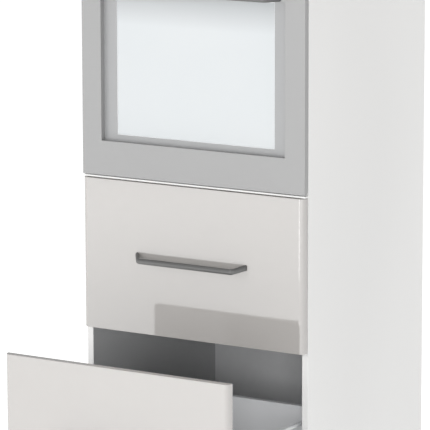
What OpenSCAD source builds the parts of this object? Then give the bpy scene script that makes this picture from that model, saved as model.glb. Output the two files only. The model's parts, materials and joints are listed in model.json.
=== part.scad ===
// Tall oven cabinet: two deep pull-outs, a built-in oven above them and a hinged upper door.
// Millimetres. X runs along the width, Y from the front to the back, Z upwards.
// The origin lies on the floor, under the middle of the plinth board.
// The lower pull-out is drawn partly open, and everything else is drawn closed.

/* [Cabinet] */
// Width over the two side panels
cab_w = 600; // [560:5:700]
// Height from the floor to the top
cab_h = 2000; // [1950:10:2300]
// Depth of the side panels, without the back panels and the fronts
carcass_d = 544; // [540:1:600]
// Height of the plinth below the carcass
plinth_h = 100; // [80:5:150]
// Thickness of the carcass boards and the plinth board
board_t = 16; // [15:0.5:19]
// Thickness of the back panels
back_t = 3; // [3:1:8]
// How far the plinth board's face stands behind the carcass front
plinth_setback = 42; // [30:1:80]
// Gap between the plinth board and the bottom panel
plinth_gap = 3; // [1:1:8]
// Air gap behind the shelf that carries the oven
vent_gap = 40; // [20:5:60]
// Distance between the shelf holes in a column
hole_step = 32; // [25:1:40]
// Number of shelf holes in a column
hole_count = 7; // [3:1:9]
// Diameter of a shelf pin
pin_d = 5; // [4:0.5:7]
// How deep a shelf pin sits in the side panel
pin_in = 10; // [8:1:12]
// How far a shelf pin reaches under the shelf
pin_out = 8; // [5:1:12]
// Distance of the front and rear shelf holes from the panel's edges
hole_inset = 37; // [30:1:60]

/* [Fronts] */
// Thickness of a front
front_t = 17; // [16:0.5:22]
// Radius of the rounded vertical edges of a front
front_round = 14; // [6:0.5:15]
// Air between a front's back and the carcass
front_standoff = 2; // [1.5:0.5:4]
// Gap between two fronts, one above the other
front_gap = 3.3; // [2:0.1:5]
// How far the strip under the oven stands out from the carcass
nosing_out = 13; // [8:0.5:13.5]
// Air between the strip under the oven and the front below it
nosing_air = 1; // [0.8:0.1:2]
// How far a front ends short of the cabinet's side
side_reveal = 1.5; // [1:0.5:4]
// Height of the lowest front's bottom edge above the carcass underside
front_lift = 2; // [2:0.5:10]
// Height of one pull-out front
pull_h = 356.6; // [320:0.1:400]
// Gap between the upper pull-out front and the oven
oven_gap = 7.5; // [5:0.5:12]
// How far the upper door ends below the cabinet's top
door_drop = 2; // [1:0.5:6]

/* [Bow handles] */
// Distance between the two screws of a handle
handle_spacing = 288; // [160:32:320]
// How far the bar's middle stands from the front
handle_reach = 29; // [24:1:45]
// Thickness of the bar, seen from above
handle_t = 7; // [5:0.5:10]
// Width of the bar, seen from the front
handle_w = 13.5; // [10:0.5:20]
// Distance from a screw to the outer end of the handle's foot
handle_foot = 5.5; // [4.5:0.5:8]
// How far the bar's bend lies inside the outer end of the foot
handle_run = 20; // [16:1:30]
// How much higher than its bar a front handle's feet end
handle_lift = 7; // [0:0.5:10]
// Distance of the door handle from the upper door's free edge
handle_inset = 45; // [30:1:80]
// Distance of the door handle's lower screw from the door's bottom edge
handle_rise = 60; // [40:1:120]

/* [Pull-outs] */
// How far the lower pull-out stands open as drawn
rest_open = 322; // [100:1:440]
// Length of the metal sides
side_l = 490; // [420:5:500]
// Length of the cabinet runner
runner_l = 500; // [420:5:520]
// Length of the middle runner member
middle_l = 440; // [380:5:460]
// Width of a metal side
side_t = 13; // [10:0.5:16]
// Height of a metal side
side_h = 86; // [70:1:120]
// Wall thickness of the hollow metal sides
side_skin = 1.5; // [1:0.1:2.5]
// Height of the metal side's lower edge above the front's lower edge
side_lift = 24; // [20:1:40]
// Thickness of the drawer base and the drawer back
drawer_t = 16; // [12:0.5:18]
// Height of the drawer base's underside above the front's lower edge
base_lift = 28; // [26:1:50]
// Height of the drawer back's top above the front's lower edge
back_top = 193.5; // [150:0.5:230]
// Diameter of a gallery rail
rail_d = 10; // [6:0.5:12]
// Space between a metal side and the side panel, for the runner
runner_space = 13; // [12.5:0.5:16]
// Height of the cabinet runner member
runner_h = 45; // [35:1:55]
// Sheet thickness of the runner members
runner_t = 1.4; // [1:0.1:1.8]
// Running clearance between runner members
runner_clear = 0.35; // [0.2:0.05:0.5]
// Height of the runner's middle above the front's lower edge
runner_mid = 66; // [60:1:80]

/* [Oven] */
// Height of the oven's front
oven_h = 595; // [580:1:600]
// How far the oven's front stands out from the carcass
oven_proud = 15; // [14:0.5:20]
// How far the oven's front ends short of the cabinet's side
oven_reveal = 1.3; // [1:0.1:4]
// Height of the oven door
door_h = 478; // [460:1:490]
// Slot between the oven door and the control panel
panel_slot = 3.5; // [2:0.5:8]
// Thickness of the door's outer frame
frame_t = 14; // [12:0.5:16]
// Width of the door frame's sides
frame_side = 52.4; // [45:0.1:70]
// Height of the door frame's lower band
frame_low = 81; // [70:1:100]
// Height of the door frame's upper band
frame_top = 46; // [40:1:60]
// Width of the inner mask beside the window
mask_side = 34.8; // [20:0.1:45]
// Height of the inner mask below the window
mask_low = 15; // [8:0.5:30]
// Height of the inner mask above the window
mask_top = 4; // [4:0.5:20]
// Thickness of the inner mask
mask_t = 2; // [1:0.5:3]
// Thickness of each glass pane
glass_t = 4; // [3:0.5:5]
// Depth of the tray between the two panes
tray_d = 16; // [12:0.5:24]
// Sheet thickness of the oven's steel parts
sheet_t = 1.2; // [0.8:0.1:2]
// Depth of the oven's casing
casing_d = 488; // [470:1:495]
// Number of air slots in the casing's rear wall
air_slots = 9; // [5:2:11]
// Distance between two air slots
air_pitch = 40; // [34:1:48]
// Length of an air slot
air_l = 28; // [16:1:30]
// Height of an air slot
air_h = 6; // [4:0.5:8]
// Distance of the air slots' lower edge from the casing's top
air_drop = 60; // [30:1:80]
// Air between the oven's casing and the niche, on each side
casing_gap = 6; // [3:0.5:12]
// Room for insulation and casing on each side of the cooking space
cavity_side = 46; // [38:1:60]
// Distance of the cooking space's roof below the door's top edge
cavity_drop = 50; // [46:1:80]
// Depth of the cooking space
cavity_d = 408; // [380:2:420]
// Height of the cooking space's floor above the door's bottom edge
cavity_lift = 92; // [85:1:100]
// Thickness of the insulation round the cooking space
wool_t = 20; // [10:1:24]
// Diameter of the fan in the rear wall
fan_d = 150; // [120:2:170]
// Number of fan blades
fan_blades = 8; // [5:1:12]
// Length of a fan blade, outwards
blade_l = 32; // [20:1:40]
// Depth of a fan blade
blade_d = 12; // [8:0.5:13]
// Diameter of the fan's shaft and of the knobs' shafts
shaft_d = 8; // [6:0.5:10]
// Width of the fan cover beside the wheel
fan_rim = 35; // [20:1:40]
// Depth of the fan cover
fan_cover_d = 22; // [20:0.5:26]
// Diameter of the fan's motor
motor_d = 64; // [50:1:80]
// Length of the fan's motor
motor_l = 38; // [25:1:44]
// Distance between the oven handle's two feet
oven_handle_l = 460; // [400:2:480]
// How far the oven handle's bar stands out
oven_handle_reach = 35.5; // [30:0.5:50]
// Width of the oven handle's bar, seen from the front
oven_handle_w = 17; // [12:0.5:24]
// Thickness of the oven handle's bar
oven_handle_t = 9; // [7:0.5:12]
// Distance of the handle's middle from the door's top edge
oven_handle_drop = 37; // [26:1:40]
// Diameter of a knob
knob_d = 46; // [36:1:60]
// Length of a knob
knob_l = 24; // [16:1:32]
// Distance of a knob's axis from the control panel's end
knob_inset = 108.7; // [60:0.1:120]
// Width of the display glass
display_w = 150; // [100:1:180]
// Height of the display glass
display_h = 44; // [30:1:60]

/* [Oven interior] */
// Number of shelf levels
level_count = 5; // [3:1:6]
// Distance of the highest level below the cooking space's roof
level_last = 58; // [50:1:80]
// Height of the lowest level above the cooking space's floor
level_first = 46; // [30:1:60]
// Diameter of the wires that carry the shelves
wire_d = 5; // [4:0.5:6]
// Diameter of the wire shelf's frame
rack_d = 6; // [5:0.5:8]
// Diameter of the wire shelf's bars
bar_d = 3; // [2:0.5:4]
// Number of bars in the wire shelf
bar_count = 14; // [8:1:20]
// Depth of the wire shelf and the baking tray
rack_l = 340; // [300:5:345]
// Distance of the wire shelf and the baking tray behind the casing's front edge
rack_back = 40; // [34:1:46]
// Depth of the baking tray's bowl
bowl_h = 25; // [15:1:35]
// Level that carries the wire shelf, counted from 0 at the bottom
rack_level = 2; // [2:1:2]
// How many levels the baking tray lies below the wire shelf
tray_below = 1; // [1:1:2]
// Diameter of the grill's heating rod
rod_d = 7; // [5:0.5:9]
// Radius of the grill rod's turns
rod_turn = 26; // [20:1:30]
// Distance of the grill rod's turns from the cooking space's front and rear
rod_end = 60; // [50:1:80]
// Distance of the grill rod from the cooking space's top
rod_drop = 18; // [12:1:24]

/* [Hinges and small parts] */
// Distance of the oven door's hinge axis behind the door's face
pivot_back = 4.5; // [4.5:0.1:6]
// Diameter of the oven door's hinge pins
pivot_d = 4; // [3:0.5:4]
// Distance of the oven door's hinges from the middle of the door
pivot_x = 251; // [240:1:258]
// Width of a hinge tongue
tongue_w = 10; // [8:1:14]
// Diameter of a hinge cup
cup_d = 35; // [30:1:40]
// Depth of a hinge cup in the door
cup_depth = 13; // [13:0.1:13.5]
// Distance of a hinge cup's middle from the door's edge
cup_edge = 21; // [20.9:0.1:21.1]
// Distance of the hinge cups from the door's top and bottom
cup_end = 100; // [60:1:150]
// Wall of a hinge cup
cup_wall = 1; // [0.8:0.1:1]
// Thickness of a hinge cup's flange
cup_flange_t = 0.8; // [0.6:0.1:0.8]
// Height of a hinge cup's flange
cup_flange_h = 50; // [46:1:56]
// Diameter of the pin in each cup hinge
hinge_pin_d = 3; // [2.5:0.1:3]
// Distance of the hinge pins from the door's edge
hinge_pin_side = 7.8; // [7.7:0.1:7.9]
// Depth of the hinge pins in the door
hinge_pin_in = 9.2; // [9.1:0.1:9.3]
// Rounding of the door's back edge beside the hinges, which turns past the side panel
door_back_r = 3; // [3:0.1:3.5]
// Thickness of a hinge arm's bent end
crank_t = 3; // [2.5:0.1:3]
// Wall round the pin in a hinge arm's bent end
crank_eye = 1.1; // [1:0.05:1.2]
// Height of a hinge arm's bent end
crank_h = 7; // [6:0.5:7]
// Distance that the bent end runs along the cup before it turns to the cabinet
crank_run = 13.5; // [13.4:0.1:14]
// Distance of a hinge arm's middle from the side panel
arm_mid = 16; // [14:0.5:17]
// Thickness of the ears above and below the bent end
ear_t = 2.5; // [2:0.1:3]
// Gap between the bent end and the ears
ear_gap = 0.3; // [0.2:0.05:0.5]
// Length of a hinge arm's plate
arm_l = 60; // [45:1:80]
// Radial running clearance round pins and shafts
pin_clear = 0.08; // [0.02:0.01:0.1]
// Seating clearance between loose neighbours
seat_gap = 0.3; // [0.1:0.05:0.5]
// Diameter of a levelling foot's pad
foot_d = 54; // [40:1:70]
// Diameter of a levelling foot's stem
stem_d = 30; // [20:1:40]
// Distance of the feet from the cabinet's sides
foot_inset_x = 50; // [40:1:80]
// Distance of the rear feet from the carcass's back
foot_inset_y = 80; // [60:1:110]
// Height of the plinth clips above the floor
clip_z = 30; // [20:1:40]
// Height of the plinth clips
clip_h = 30; // [20:1:40]
// Air between the plinth board and the front feet's pads
foot_clear = 5; // [2:1:12]
// Diameter of the holes in the wall brackets
wall_hole_d = 6.5; // [4:0.5:9]
// Distance between the two wall brackets
wall_spacing = 440; // [300:10:480]
// Diameter of the oven's fixing screws
screw_d = 4; // [3:0.5:5]
// Distance of the fixing screws from the casing's bottom and top
screw_end = 130; // [80:5:180]
// How deep the fixing screws sit in the side panels
screw_in = 11; // [8:1:13]
// Distance of the fixing screws behind the casing's front edge
screw_back = 12; // [8:1:30]
// Width of the mains terminal box
terminal_w = 70; // [50:1:90]
// Height of the mains terminal box
terminal_h = 50; // [40:1:70]
// Depth of the mains terminal box
terminal_d = 18; // [14:1:20]
// Distance of the terminal box from the casing's side
terminal_inset = 40; // [20:1:80]
// Height of the terminal box above the casing's bottom
terminal_rise = 62; // [30:1:100]
// Diameter of the cable hole in the terminal box
gland_d = 9; // [7:0.5:12]
// Depth of the cable hole
gland_l = 12; // [8:1:13]
// Height of an oven hinge bracket above the hinge axis
bracket_rise = 46; // [30:1:50]
// Width of an oven hinge bracket
bracket_foot_w = 22; // [16:1:26]

/* [Hidden] */
$fn = 64;

white = [0.90, 0.90, 0.89];
inside_grey = [0.62, 0.62, 0.63];
gloss_beige = [0.84, 0.82, 0.80];
handle_steel = [0.50, 0.50, 0.49];
rail_grey = [0.74, 0.74, 0.75];
zinc = [0.70, 0.71, 0.72];
oven_grey = [0.73, 0.73, 0.73];
mask_grey = [0.69, 0.69, 0.70];
pane = [0.88, 0.90, 0.91];
enamel = [0.16, 0.16, 0.18];
wool = [0.80, 0.78, 0.70];
rubber = [0.12, 0.12, 0.12];
black_plastic = [0.15, 0.15, 0.16];

// Faces of the carcass
face_y = -plinth_setback - board_t / 2;
rear_y = face_y + carcass_d;
half_w = cab_w / 2;
in_x = half_w - board_t;
floor_z = plinth_h + board_t;

// Fronts, from the bottom up
front_x = half_w - side_reveal;
front_back_y = face_y - front_standoff;
front_y = front_back_y - front_t;
lower_z = plinth_h + front_lift;
upper_z = lower_z + pull_h + front_gap;
oven_z = upper_z + pull_h + oven_gap;
oven_top_z = oven_z + oven_h;
door_z = oven_top_z + front_gap;
door_top_z = cab_h - door_drop;

// Oven niche: its floor lies just below the oven front's edge, its roof just below the front's top
niche_drop = 2;
niche_lap = 3;
niche_z = oven_z - niche_drop;
niche_top_z = oven_top_z - niche_lap;
loft_z = niche_top_z + board_t;
shelf_z = (loft_z + cab_h - board_t) / 2 - board_t / 2;

// Pull-outs: the metal side's two faces, and the runner's nested channels
side_out = in_x - runner_space;
side_in = side_out - side_t;
runner_lip = side_out + 2.2;
middle_h = runner_h - 2 * runner_t - 2 * runner_clear;
middle_out = in_x - runner_t - runner_clear;
track_h = middle_h - 2 * runner_t - 2 * runner_clear;
track_out = middle_out - runner_t - runner_clear;
rail_x = (side_in + side_out) / 2;
rail_top_gap = 1;
drawer_rear = front_back_y + side_l;
collar_d = side_t - 0.5;

// Oven: planes counted back from the carcass front
oven_x = half_w - oven_reveal;
door_face_y = face_y - oven_proud;
mask_y = door_face_y + frame_t;
pane_y = mask_y + mask_t;
tray_y = pane_y + glass_t;
inner_pane_y = tray_y + tray_d;
door_back_y = inner_pane_y + glass_t;
gasket_t = 4.5;
plate_y = door_back_y + seat_gap + gasket_t;
casing_y = plate_y + 2;
casing_x = in_x - casing_gap;
casing_rear = casing_y + casing_d;
casing_top_z = niche_top_z - 4;
open_x = oven_x - frame_side;
open_z0 = oven_z + frame_low;
open_z1 = oven_z + door_h - frame_top;
win_x = open_x - mask_side;
win_z0 = open_z0 + mask_low;
win_z1 = open_z1 - mask_top;
inner_z0 = oven_z + frame_t + 10;
inner_z1 = oven_z + door_h - 8;
cav_x = casing_x - cavity_side;
knob_x = oven_x - knob_inset;
cav_z0 = oven_z + cavity_lift;
cav_z1 = oven_z + door_h - cavity_drop;
cav_rear = casing_y + cavity_d;
fan_z = (cav_z0 + cav_z1) / 2;
motor_y = cav_rear + wool_t + sheet_t;
panel_z = oven_z + door_h + panel_slot;
screw_y = casing_y + screw_back;
screw_z = [niche_z + screw_end, casing_top_z - screw_end];
// The door's lower back edge is rounded about the hinge axis, so it turns clear of the side panels
pivot_r = frame_t - pivot_back;
pivot_y = door_face_y + pivot_back;
pivot_z = oven_z + pivot_r;
knob_z = (panel_z + oven_top_z) / 2;
level_x = cav_x - 11;
level_step = (cav_z1 - cav_z0 - level_first - level_last) / (level_count - 1);

// Cup hinges: the door turns about one pin in each cup, held by the arm's bent end
cup_x = -front_x + cup_edge;
hinge_pin = [-front_x + hinge_pin_side, front_back_y - hinge_pin_in];
arm_x = -in_x + arm_mid;
hinge_z = [door_z + cup_end, door_top_z - cup_end];

// A block between two opposite corners
module block(lo, hi) {
    translate(lo) cube(hi - lo);
}

// The same thing on the left and on the right
module both_sides() {
    children();
    mirror([1, 0, 0]) children();
}

// A cylinder along Y, from one depth to another
module rod_y(d, x, y0, y1, z) {
    translate([x, y0, z]) rotate([-90, 0, 0]) cylinder(d = d, h = y1 - y0);
}

// A cylinder along X, from one side to another
module rod_x(d, x0, x1, y, z) {
    translate([x0, y, z]) rotate([0, 90, 0]) cylinder(d = d, h = x1 - x0);
}

// A front with its two front vertical edges rounded
module front(z0, z1) {
    r = front_round;
    intersection() {
        block([-front_x, front_y, z0], [front_x, front_back_y, z1]);
        union() {
            block([-front_x + r, front_y - 1, z0 - 1], [front_x - r, front_back_y + 1, z1 + 1]);
            block([-front_x - 1, front_y + r, z0 - 1], [front_x + 1, front_back_y + 1, z1 + 1]);
            for (s = [-1, 1])
                translate([s * (front_x - r), front_y + r, z0 - 1]) cylinder(r = r, h = z1 - z0 + 2);
        }
    }
}

// Bow handle lying along X, with its feet on the plane y = 0 and its bar at negative y.
// The bar, its slanted legs and the short flat feet have the same thickness.
// The legs also climb, so that the feet's outer ends sit higher than the bar by the lift.
module bow(spacing, reach, t, w, lift = 0) {
    foot_x = spacing / 2 + handle_foot;
    out_x = foot_x - handle_run;
    bend_x = out_x - t * tan(atan2(reach, handle_run) / 2);
    leg_x = bend_x + (reach - t / 2 - t / 2) * handle_run / reach;
    pad_x = foot_x - 2 * handle_foot;
    climb = lift / (foot_x - bend_x);
    leg = [
        [bend_x, -reach - t / 2], [out_x, -reach - t / 2], [foot_x, -t / 2], [foot_x, 0],
        [pad_x, 0], [pad_x, -t / 2], [leg_x, -t / 2], [bend_x, -reach + t / 2]
    ];
    translate([-bend_x, -reach - t / 2, -w / 2]) cube([2 * bend_x, t, w]);
    for (s = [-1, 1]) scale([s, 1, 1])
        multmatrix([[1, 0, 0, 0], [0, 1, 0, 0], [climb, 0, 1, -climb * bend_x], [0, 0, 0, 1]])
            translate([0, 0, -w / 2]) linear_extrude(w) polygon(leg);
}

module front_handle(z0) {
    color(handle_steel) translate([0, front_y, z0 + pull_h / 2])
        bow(handle_spacing, handle_reach, handle_t, handle_w, handle_lift);
}

// Carcass

// One side panel with two columns of shelf holes in its inner face
module side_panel(s) {
    color(white) difference() {
        mirror([s < 0 ? 1 : 0, 0, 0]) block([in_x, face_y, plinth_h], [half_w, rear_y, cab_h]);
        mirror([s < 0 ? 1 : 0, 0, 0]) {
            for (y = [face_y + hole_inset, rear_y - hole_inset], k = [0:hole_count - 1])
                rod_x(pin_d + 0.1, in_x - 1, in_x + pin_in + 1, y, shelf_hole_z(k));
            for (z = screw_z) rod_x(screw_d + 0.1, in_x - 1, in_x + screw_in + 0.5, screw_y, z);
        }
    }
}

function shelf_hole_z(k) = shelf_z - pin_d / 2 + (k - floor(hole_count / 2)) * hole_step;

module left_side_panel() { side_panel(-1); }
module right_side_panel() { side_panel(1); }

module bottom_panel() {
    color(white) block([-in_x, face_y, plinth_h], [in_x, rear_y, floor_z]);
}

module oven_shelf() {
    color(white) block([-in_x, face_y, niche_z - board_t], [in_x, rear_y - vent_gap, niche_z]);
}

// White strip on the shelf's front edge, which closes the gap under the oven door
module shelf_nosing() {
    color(white) block([-half_w + side_reveal, face_y - nosing_out, upper_z + pull_h + nosing_air],
                       [half_w - side_reveal, face_y, niche_z]);
}

module niche_top_panel() {
    color(white) block([-in_x, face_y, niche_top_z], [in_x, rear_y, loft_z]);
}

module top_panel() {
    color(white) block([-in_x, face_y, cab_h - board_t], [in_x, rear_y, cab_h]);
}

module back_panel(z0, z1) {
    block([-half_w + 2, rear_y, z0], [half_w - 2, rear_y + back_t, z1]);
}

module lower_back_panel() {
    color(inside_grey) back_panel(plinth_h + 2, niche_z);
}

module upper_back_panel() {
    color(inside_grey) difference() {
        back_panel(niche_top_z, cab_h - 2);
        for (s = [-1, 1])
            rod_y(wall_hole_d, s * wall_spacing / 2, rear_y - 1, rear_y + back_t + 1, wall_hole_z);
    }
}

wall_hole_z = cab_h - board_t - 22;
bracket_w = 30;
bracket_t = 2;
bracket_l = 34;

// Angle brackets under the top panel, screwed through the back panel to the wall
module wall_brackets() {
    z1 = cab_h - board_t;
    color(zinc) for (s = [-1, 1]) difference() {
        translate([s * wall_spacing / 2, 0, 0]) union() {
            block([-bracket_w / 2, rear_y - bracket_l, z1 - bracket_t], [bracket_w / 2, rear_y, z1]);
            block([-bracket_w / 2, rear_y - bracket_t, z1 - bracket_l], [bracket_w / 2, rear_y, z1]);
        }
        rod_y(wall_hole_d, s * wall_spacing / 2, rear_y - 3, rear_y + 1, wall_hole_z);
    }
}

foot_y = [board_t / 2 + foot_clear + foot_d / 2, rear_y - foot_inset_y];
foot_x = half_w - foot_inset_x;
clip_w = 24;

// Plinth board with two clips that grip the stems of the front feet
module plinth_board() {
    y1 = board_t / 2;
    color(white) {
        block([-half_w, -y1, 0], [half_w, y1, plinth_h - plinth_gap]);
        for (s = [-1, 1]) difference() {
            block([s * foot_x - clip_w / 2, y1 - 0.01, clip_z],
                  [s * foot_x + clip_w / 2, foot_y[0], clip_z + clip_h]);
            translate([s * foot_x, foot_y[0], clip_z - 1])
                cylinder(d = stem_d + 2 * seat_gap, h = clip_h + 2);
        }
    }
}

// Four feet: a pad, a stem and a threaded spindle in a flange under the carcass
module levelling_feet() {
    flange_t = 10;
    color(black_plastic) for (x = [-foot_x, foot_x], y = foot_y) translate([x, y, 0]) {
        cylinder(d = foot_d, h = 8);
        cylinder(d = stem_d, h = plinth_h - 30);
        cylinder(d = 14, h = plinth_h);
        translate([0, 0, plinth_h - flange_t]) cylinder(d = foot_d + 6, h = flange_t);
    }
}

module adjustable_shelf() {
    color(white)
        block([-in_x + 1, face_y + 20, shelf_z], [in_x - 1, rear_y - 8, shelf_z + board_t]);
}

module shelf_pins() {
    color(zinc) for (y = [face_y + hole_inset, rear_y - hole_inset]) both_sides()
        rod_x(pin_d, in_x - pin_out, in_x + pin_in, y, shelf_z - pin_d / 2);
}

// Upper door and its cup hinges

module upper_door() {
    r = door_back_r;
    color(gloss_beige) difference() {
        front(door_z, door_top_z);
        // The back edge beside the hinges is rounded
        difference() {
            block([-front_x - 1, front_back_y - r, door_z - 1],
                  [-front_x + r, front_back_y + 1, door_top_z + 1]);
            translate([-front_x + r, front_back_y - r, door_z - 2])
                cylinder(r = r, h = door_top_z - door_z + 4);
        }
        for (z = hinge_z)
            rod_y(cup_d + 0.2, cup_x, front_back_y - cup_depth - 0.1, front_back_y + 1, z);
    }
}

module upper_door_handle() {
    x = front_x - handle_inset;
    z = door_z + handle_rise + handle_spacing / 2;
    color(handle_steel) translate([x, front_y, z]) rotate([0, 90, 0])
        bow(handle_spacing, handle_reach, handle_t, handle_w, handle_lift);
}

// Two steel cups in the door's back, each with a flange and the pin that the door turns on
module hinge_cups() {
    floor_y = front_back_y - cup_depth;
    color(zinc) for (z = hinge_z) {
        difference() {
            union() {
                rod_y(cup_d, cup_x, floor_y, front_back_y, z);
                block([cup_x - cup_d / 2, front_back_y, z - cup_flange_h / 2],
                      [cup_x + cup_d / 2, front_back_y + cup_flange_t, z + cup_flange_h / 2]);
            }
            rod_y(cup_d - 2 * cup_wall, cup_x, floor_y + cup_wall, front_back_y + 2, z);
        }
        // Two ears in the cup hold the pin above and below the arm's end
        for (s = [-1, 1]) {
            z1 = z + s * (crank_h / 2 + ear_gap + ear_t / 2);
            block([hinge_pin[0] - 1.8, floor_y + cup_wall / 2, z1 - ear_t / 2],
                  [hinge_pin[0] + 2.2, hinge_pin[1] + 2.2, z1 + ear_t / 2]);
        }
        translate([hinge_pin[0], hinge_pin[1], z - crank_h / 2 - ear_gap - ear_t])
            cylinder(d = hinge_pin_d, h = crank_h + 2 * ear_gap + 2 * ear_t);
    }
}

// The arms on the side panel, each with a bent end that reaches round the door's edge to the pin
module hinge_arms() {
    body_y = face_y + 14;
    plate_h = 40;
    body_h = 16;
    bend = hinge_pin + [crank_run, 0];
    path = [hinge_pin, bend, [arm_x, face_y + 1], [arm_x, body_y + 2]];
    color(zinc) for (z = hinge_z) {
        block([-in_x, body_y + 6, z - plate_h / 2], [-in_x + 3, body_y + 6 + arm_l, z + plate_h / 2]);
        block([-in_x + 3, body_y, z - body_h / 2], [arm_x + 3, body_y + arm_l, z + body_h / 2]);
        translate([0, 0, z - crank_h / 2]) difference() {
            union() {
                translate([hinge_pin[0], hinge_pin[1], 0])
                    cylinder(r = hinge_pin_d / 2 + crank_eye, h = crank_h);
                for (k = [0:2]) hull() for (q = [path[k], path[k + 1]])
                    translate([q[0], q[1], 0]) cylinder(d = crank_t, h = crank_h);
            }
            translate([hinge_pin[0], hinge_pin[1], -1])
                cylinder(d = hinge_pin_d + 2 * pin_clear, h = crank_h + 2);
        }
    }
}

// Runners

// A channel with its web outside, open towards the middle of the cabinet
module channel(web_x, lip_x, h, t, y0, l, z) {
    block([web_x - t, y0, z - h / 2], [web_x, y0 + l, z + h / 2]);
    for (s = [0, 1]) mirror([0, 0, s]) translate([0, 0, s * -2 * z])
        block([lip_x, y0, z + h / 2 - t], [web_x, y0 + l, z + h / 2]);
}

module cabinet_runners() {
    color(zinc) for (z0 = [lower_z, upper_z]) both_sides()
        channel(in_x, runner_lip, runner_h, runner_t, face_y, runner_l, z0 + runner_mid);
}

module middle_runners(z0, open) {
    color(zinc) translate([0, -open / 2, 0]) both_sides()
        channel(middle_out, runner_lip, middle_h, runner_t, face_y + 1, middle_l, z0 + runner_mid);
}

// Pull-outs. Each module takes the front's lower edge and how far the pull-out stands open.

// Metal sides with the inner runner track, a front flange and an upright for the back wall
module metal_sides(z0, open) {
    z = z0 + side_lift;
    flange = 26;
    upright = drawer_t;
    track_z = z0 + runner_mid;
    color(rail_grey) translate([0, -open, 0]) both_sides() {
        difference() {
            block([side_in, front_back_y, z], [side_out, drawer_rear, z + side_h]);
            block([side_in + side_skin, front_back_y + 2, z - 1],
                  [side_out - side_skin, drawer_rear - upright, z + side_h - side_skin]);
        }
        block([side_in - flange, front_back_y, z + 22], [side_out, front_back_y + 2, z + side_h]);
        block([side_in, drawer_rear - upright, z], [side_out, drawer_rear, z0 + back_top]);
        block([side_out - 0.01, face_y, track_z - track_h / 2],
              [side_out + runner_t, drawer_rear, track_z + track_h / 2]);
        for (s = [-1, 1]) {
            zt = track_z + s * (track_h - runner_t) / 2;
            block([side_out, face_y, zt - runner_t / 2], [track_out, drawer_rear, zt + runner_t / 2]);
        }
    }
}

module drawer_base(z0, open) {
    color(inside_grey) translate([0, -open, 0])
        block([-side_in, front_back_y + 2, z0 + base_lift],
              [side_in, drawer_rear, z0 + base_lift + drawer_t]);
}

module drawer_back(z0, open) {
    color(rail_grey) translate([0, -open, 0])
        block([-side_in, drawer_rear - drawer_t, z0 + base_lift + drawer_t],
              [side_in, drawer_rear, z0 + back_top]);
}

// Two round rails, each with a collar on the front and its end in the upright at the back
module gallery_rails(z0, open) {
    z = z0 + back_top - rail_top_gap - rail_d / 2;
    color(rail_grey) translate([0, -open, 0]) both_sides() {
        rod_y(rail_d, rail_x, front_back_y, drawer_rear - drawer_t, z);
        rod_y(collar_d, rail_x, front_back_y, front_back_y + 14, z);
    }
}

module lower_front() { color(gloss_beige) translate([0, -rest_open, 0]) front(lower_z, lower_z + pull_h); }
module lower_handle() { translate([0, -rest_open, 0]) front_handle(lower_z); }
module lower_metal_sides() { metal_sides(lower_z, rest_open); }
module lower_base() { drawer_base(lower_z, rest_open); }
module lower_back_wall() { drawer_back(lower_z, rest_open); }
module lower_gallery_rails() { gallery_rails(lower_z, rest_open); }
module lower_middle_runners() { middle_runners(lower_z, rest_open); }

module upper_front() { color(gloss_beige) front(upper_z, upper_z + pull_h); }
module upper_handle() { front_handle(upper_z); }
module upper_metal_sides() { metal_sides(upper_z, 0); }
module upper_base() { drawer_base(upper_z, 0); }
module upper_back_wall() { drawer_back(upper_z, 0); }
module upper_gallery_rails() { gallery_rails(upper_z, 0); }
module upper_middle_runners() { middle_runners(upper_z, 0); }

// Oven body

// Galvanised outer casing, open at the front, with slots in its rear wall for the cooling air
module oven_casing() {
    t = sheet_t;
    color(zinc) difference() {
        block([-casing_x, casing_y, niche_z], [casing_x, casing_rear, casing_top_z]);
        block([-casing_x + t, casing_y - 1, niche_z + t], [casing_x - t, casing_rear - t, casing_top_z - t]);
        for (k = [0:air_slots - 1]) {
            x = (k - (air_slots - 1) / 2) * air_pitch;
            block([x - air_l / 2, casing_rear - 5, casing_top_z - air_drop],
                  [x + air_l / 2, casing_rear + 1, casing_top_z - air_drop + air_h]);
        }
        both_sides() for (z = screw_z) rod_x(screw_d + 0.4, casing_x - 5, casing_x + 1, screw_y, z);
    }
}

// Steel plate in front of the casing, with the mouth of the cooking space
module oven_front_frame() {
    color(oven_grey) difference() {
        block([-casing_x, plate_y, niche_z], [casing_x, casing_y, panel_z]);
        block([-cav_x, plate_y - 1, cav_z0], [cav_x, casing_y + 1, cav_z1]);
    }
}

// Enamelled box with a hole for the fan's shaft
module oven_cavity() {
    t = sheet_t;
    color(enamel) difference() {
        block([-cav_x - t, casing_y, cav_z0 - t], [cav_x + t, cav_rear + t, cav_z1 + t]);
        block([-cav_x, casing_y - 1, cav_z0], [cav_x, cav_rear, cav_z1]);
        rod_y(shaft_d + 4, 0, cav_rear - 1, cav_rear + t + 1, fan_z);
    }
}

module oven_insulation() {
    t = sheet_t;
    w = wool_t + t;
    color(wool) difference() {
        block([-cav_x - w, casing_y, cav_z0 - w], [cav_x + w, cav_rear + w, cav_z1 + w]);
        block([-cav_x - t, casing_y - 1, cav_z0 - t], [cav_x + t, cav_rear + t, cav_z1 + t]);
        rod_y(shaft_d + 6, 0, cav_rear - 1, cav_rear + w + 1, fan_z);
    }
}

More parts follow.
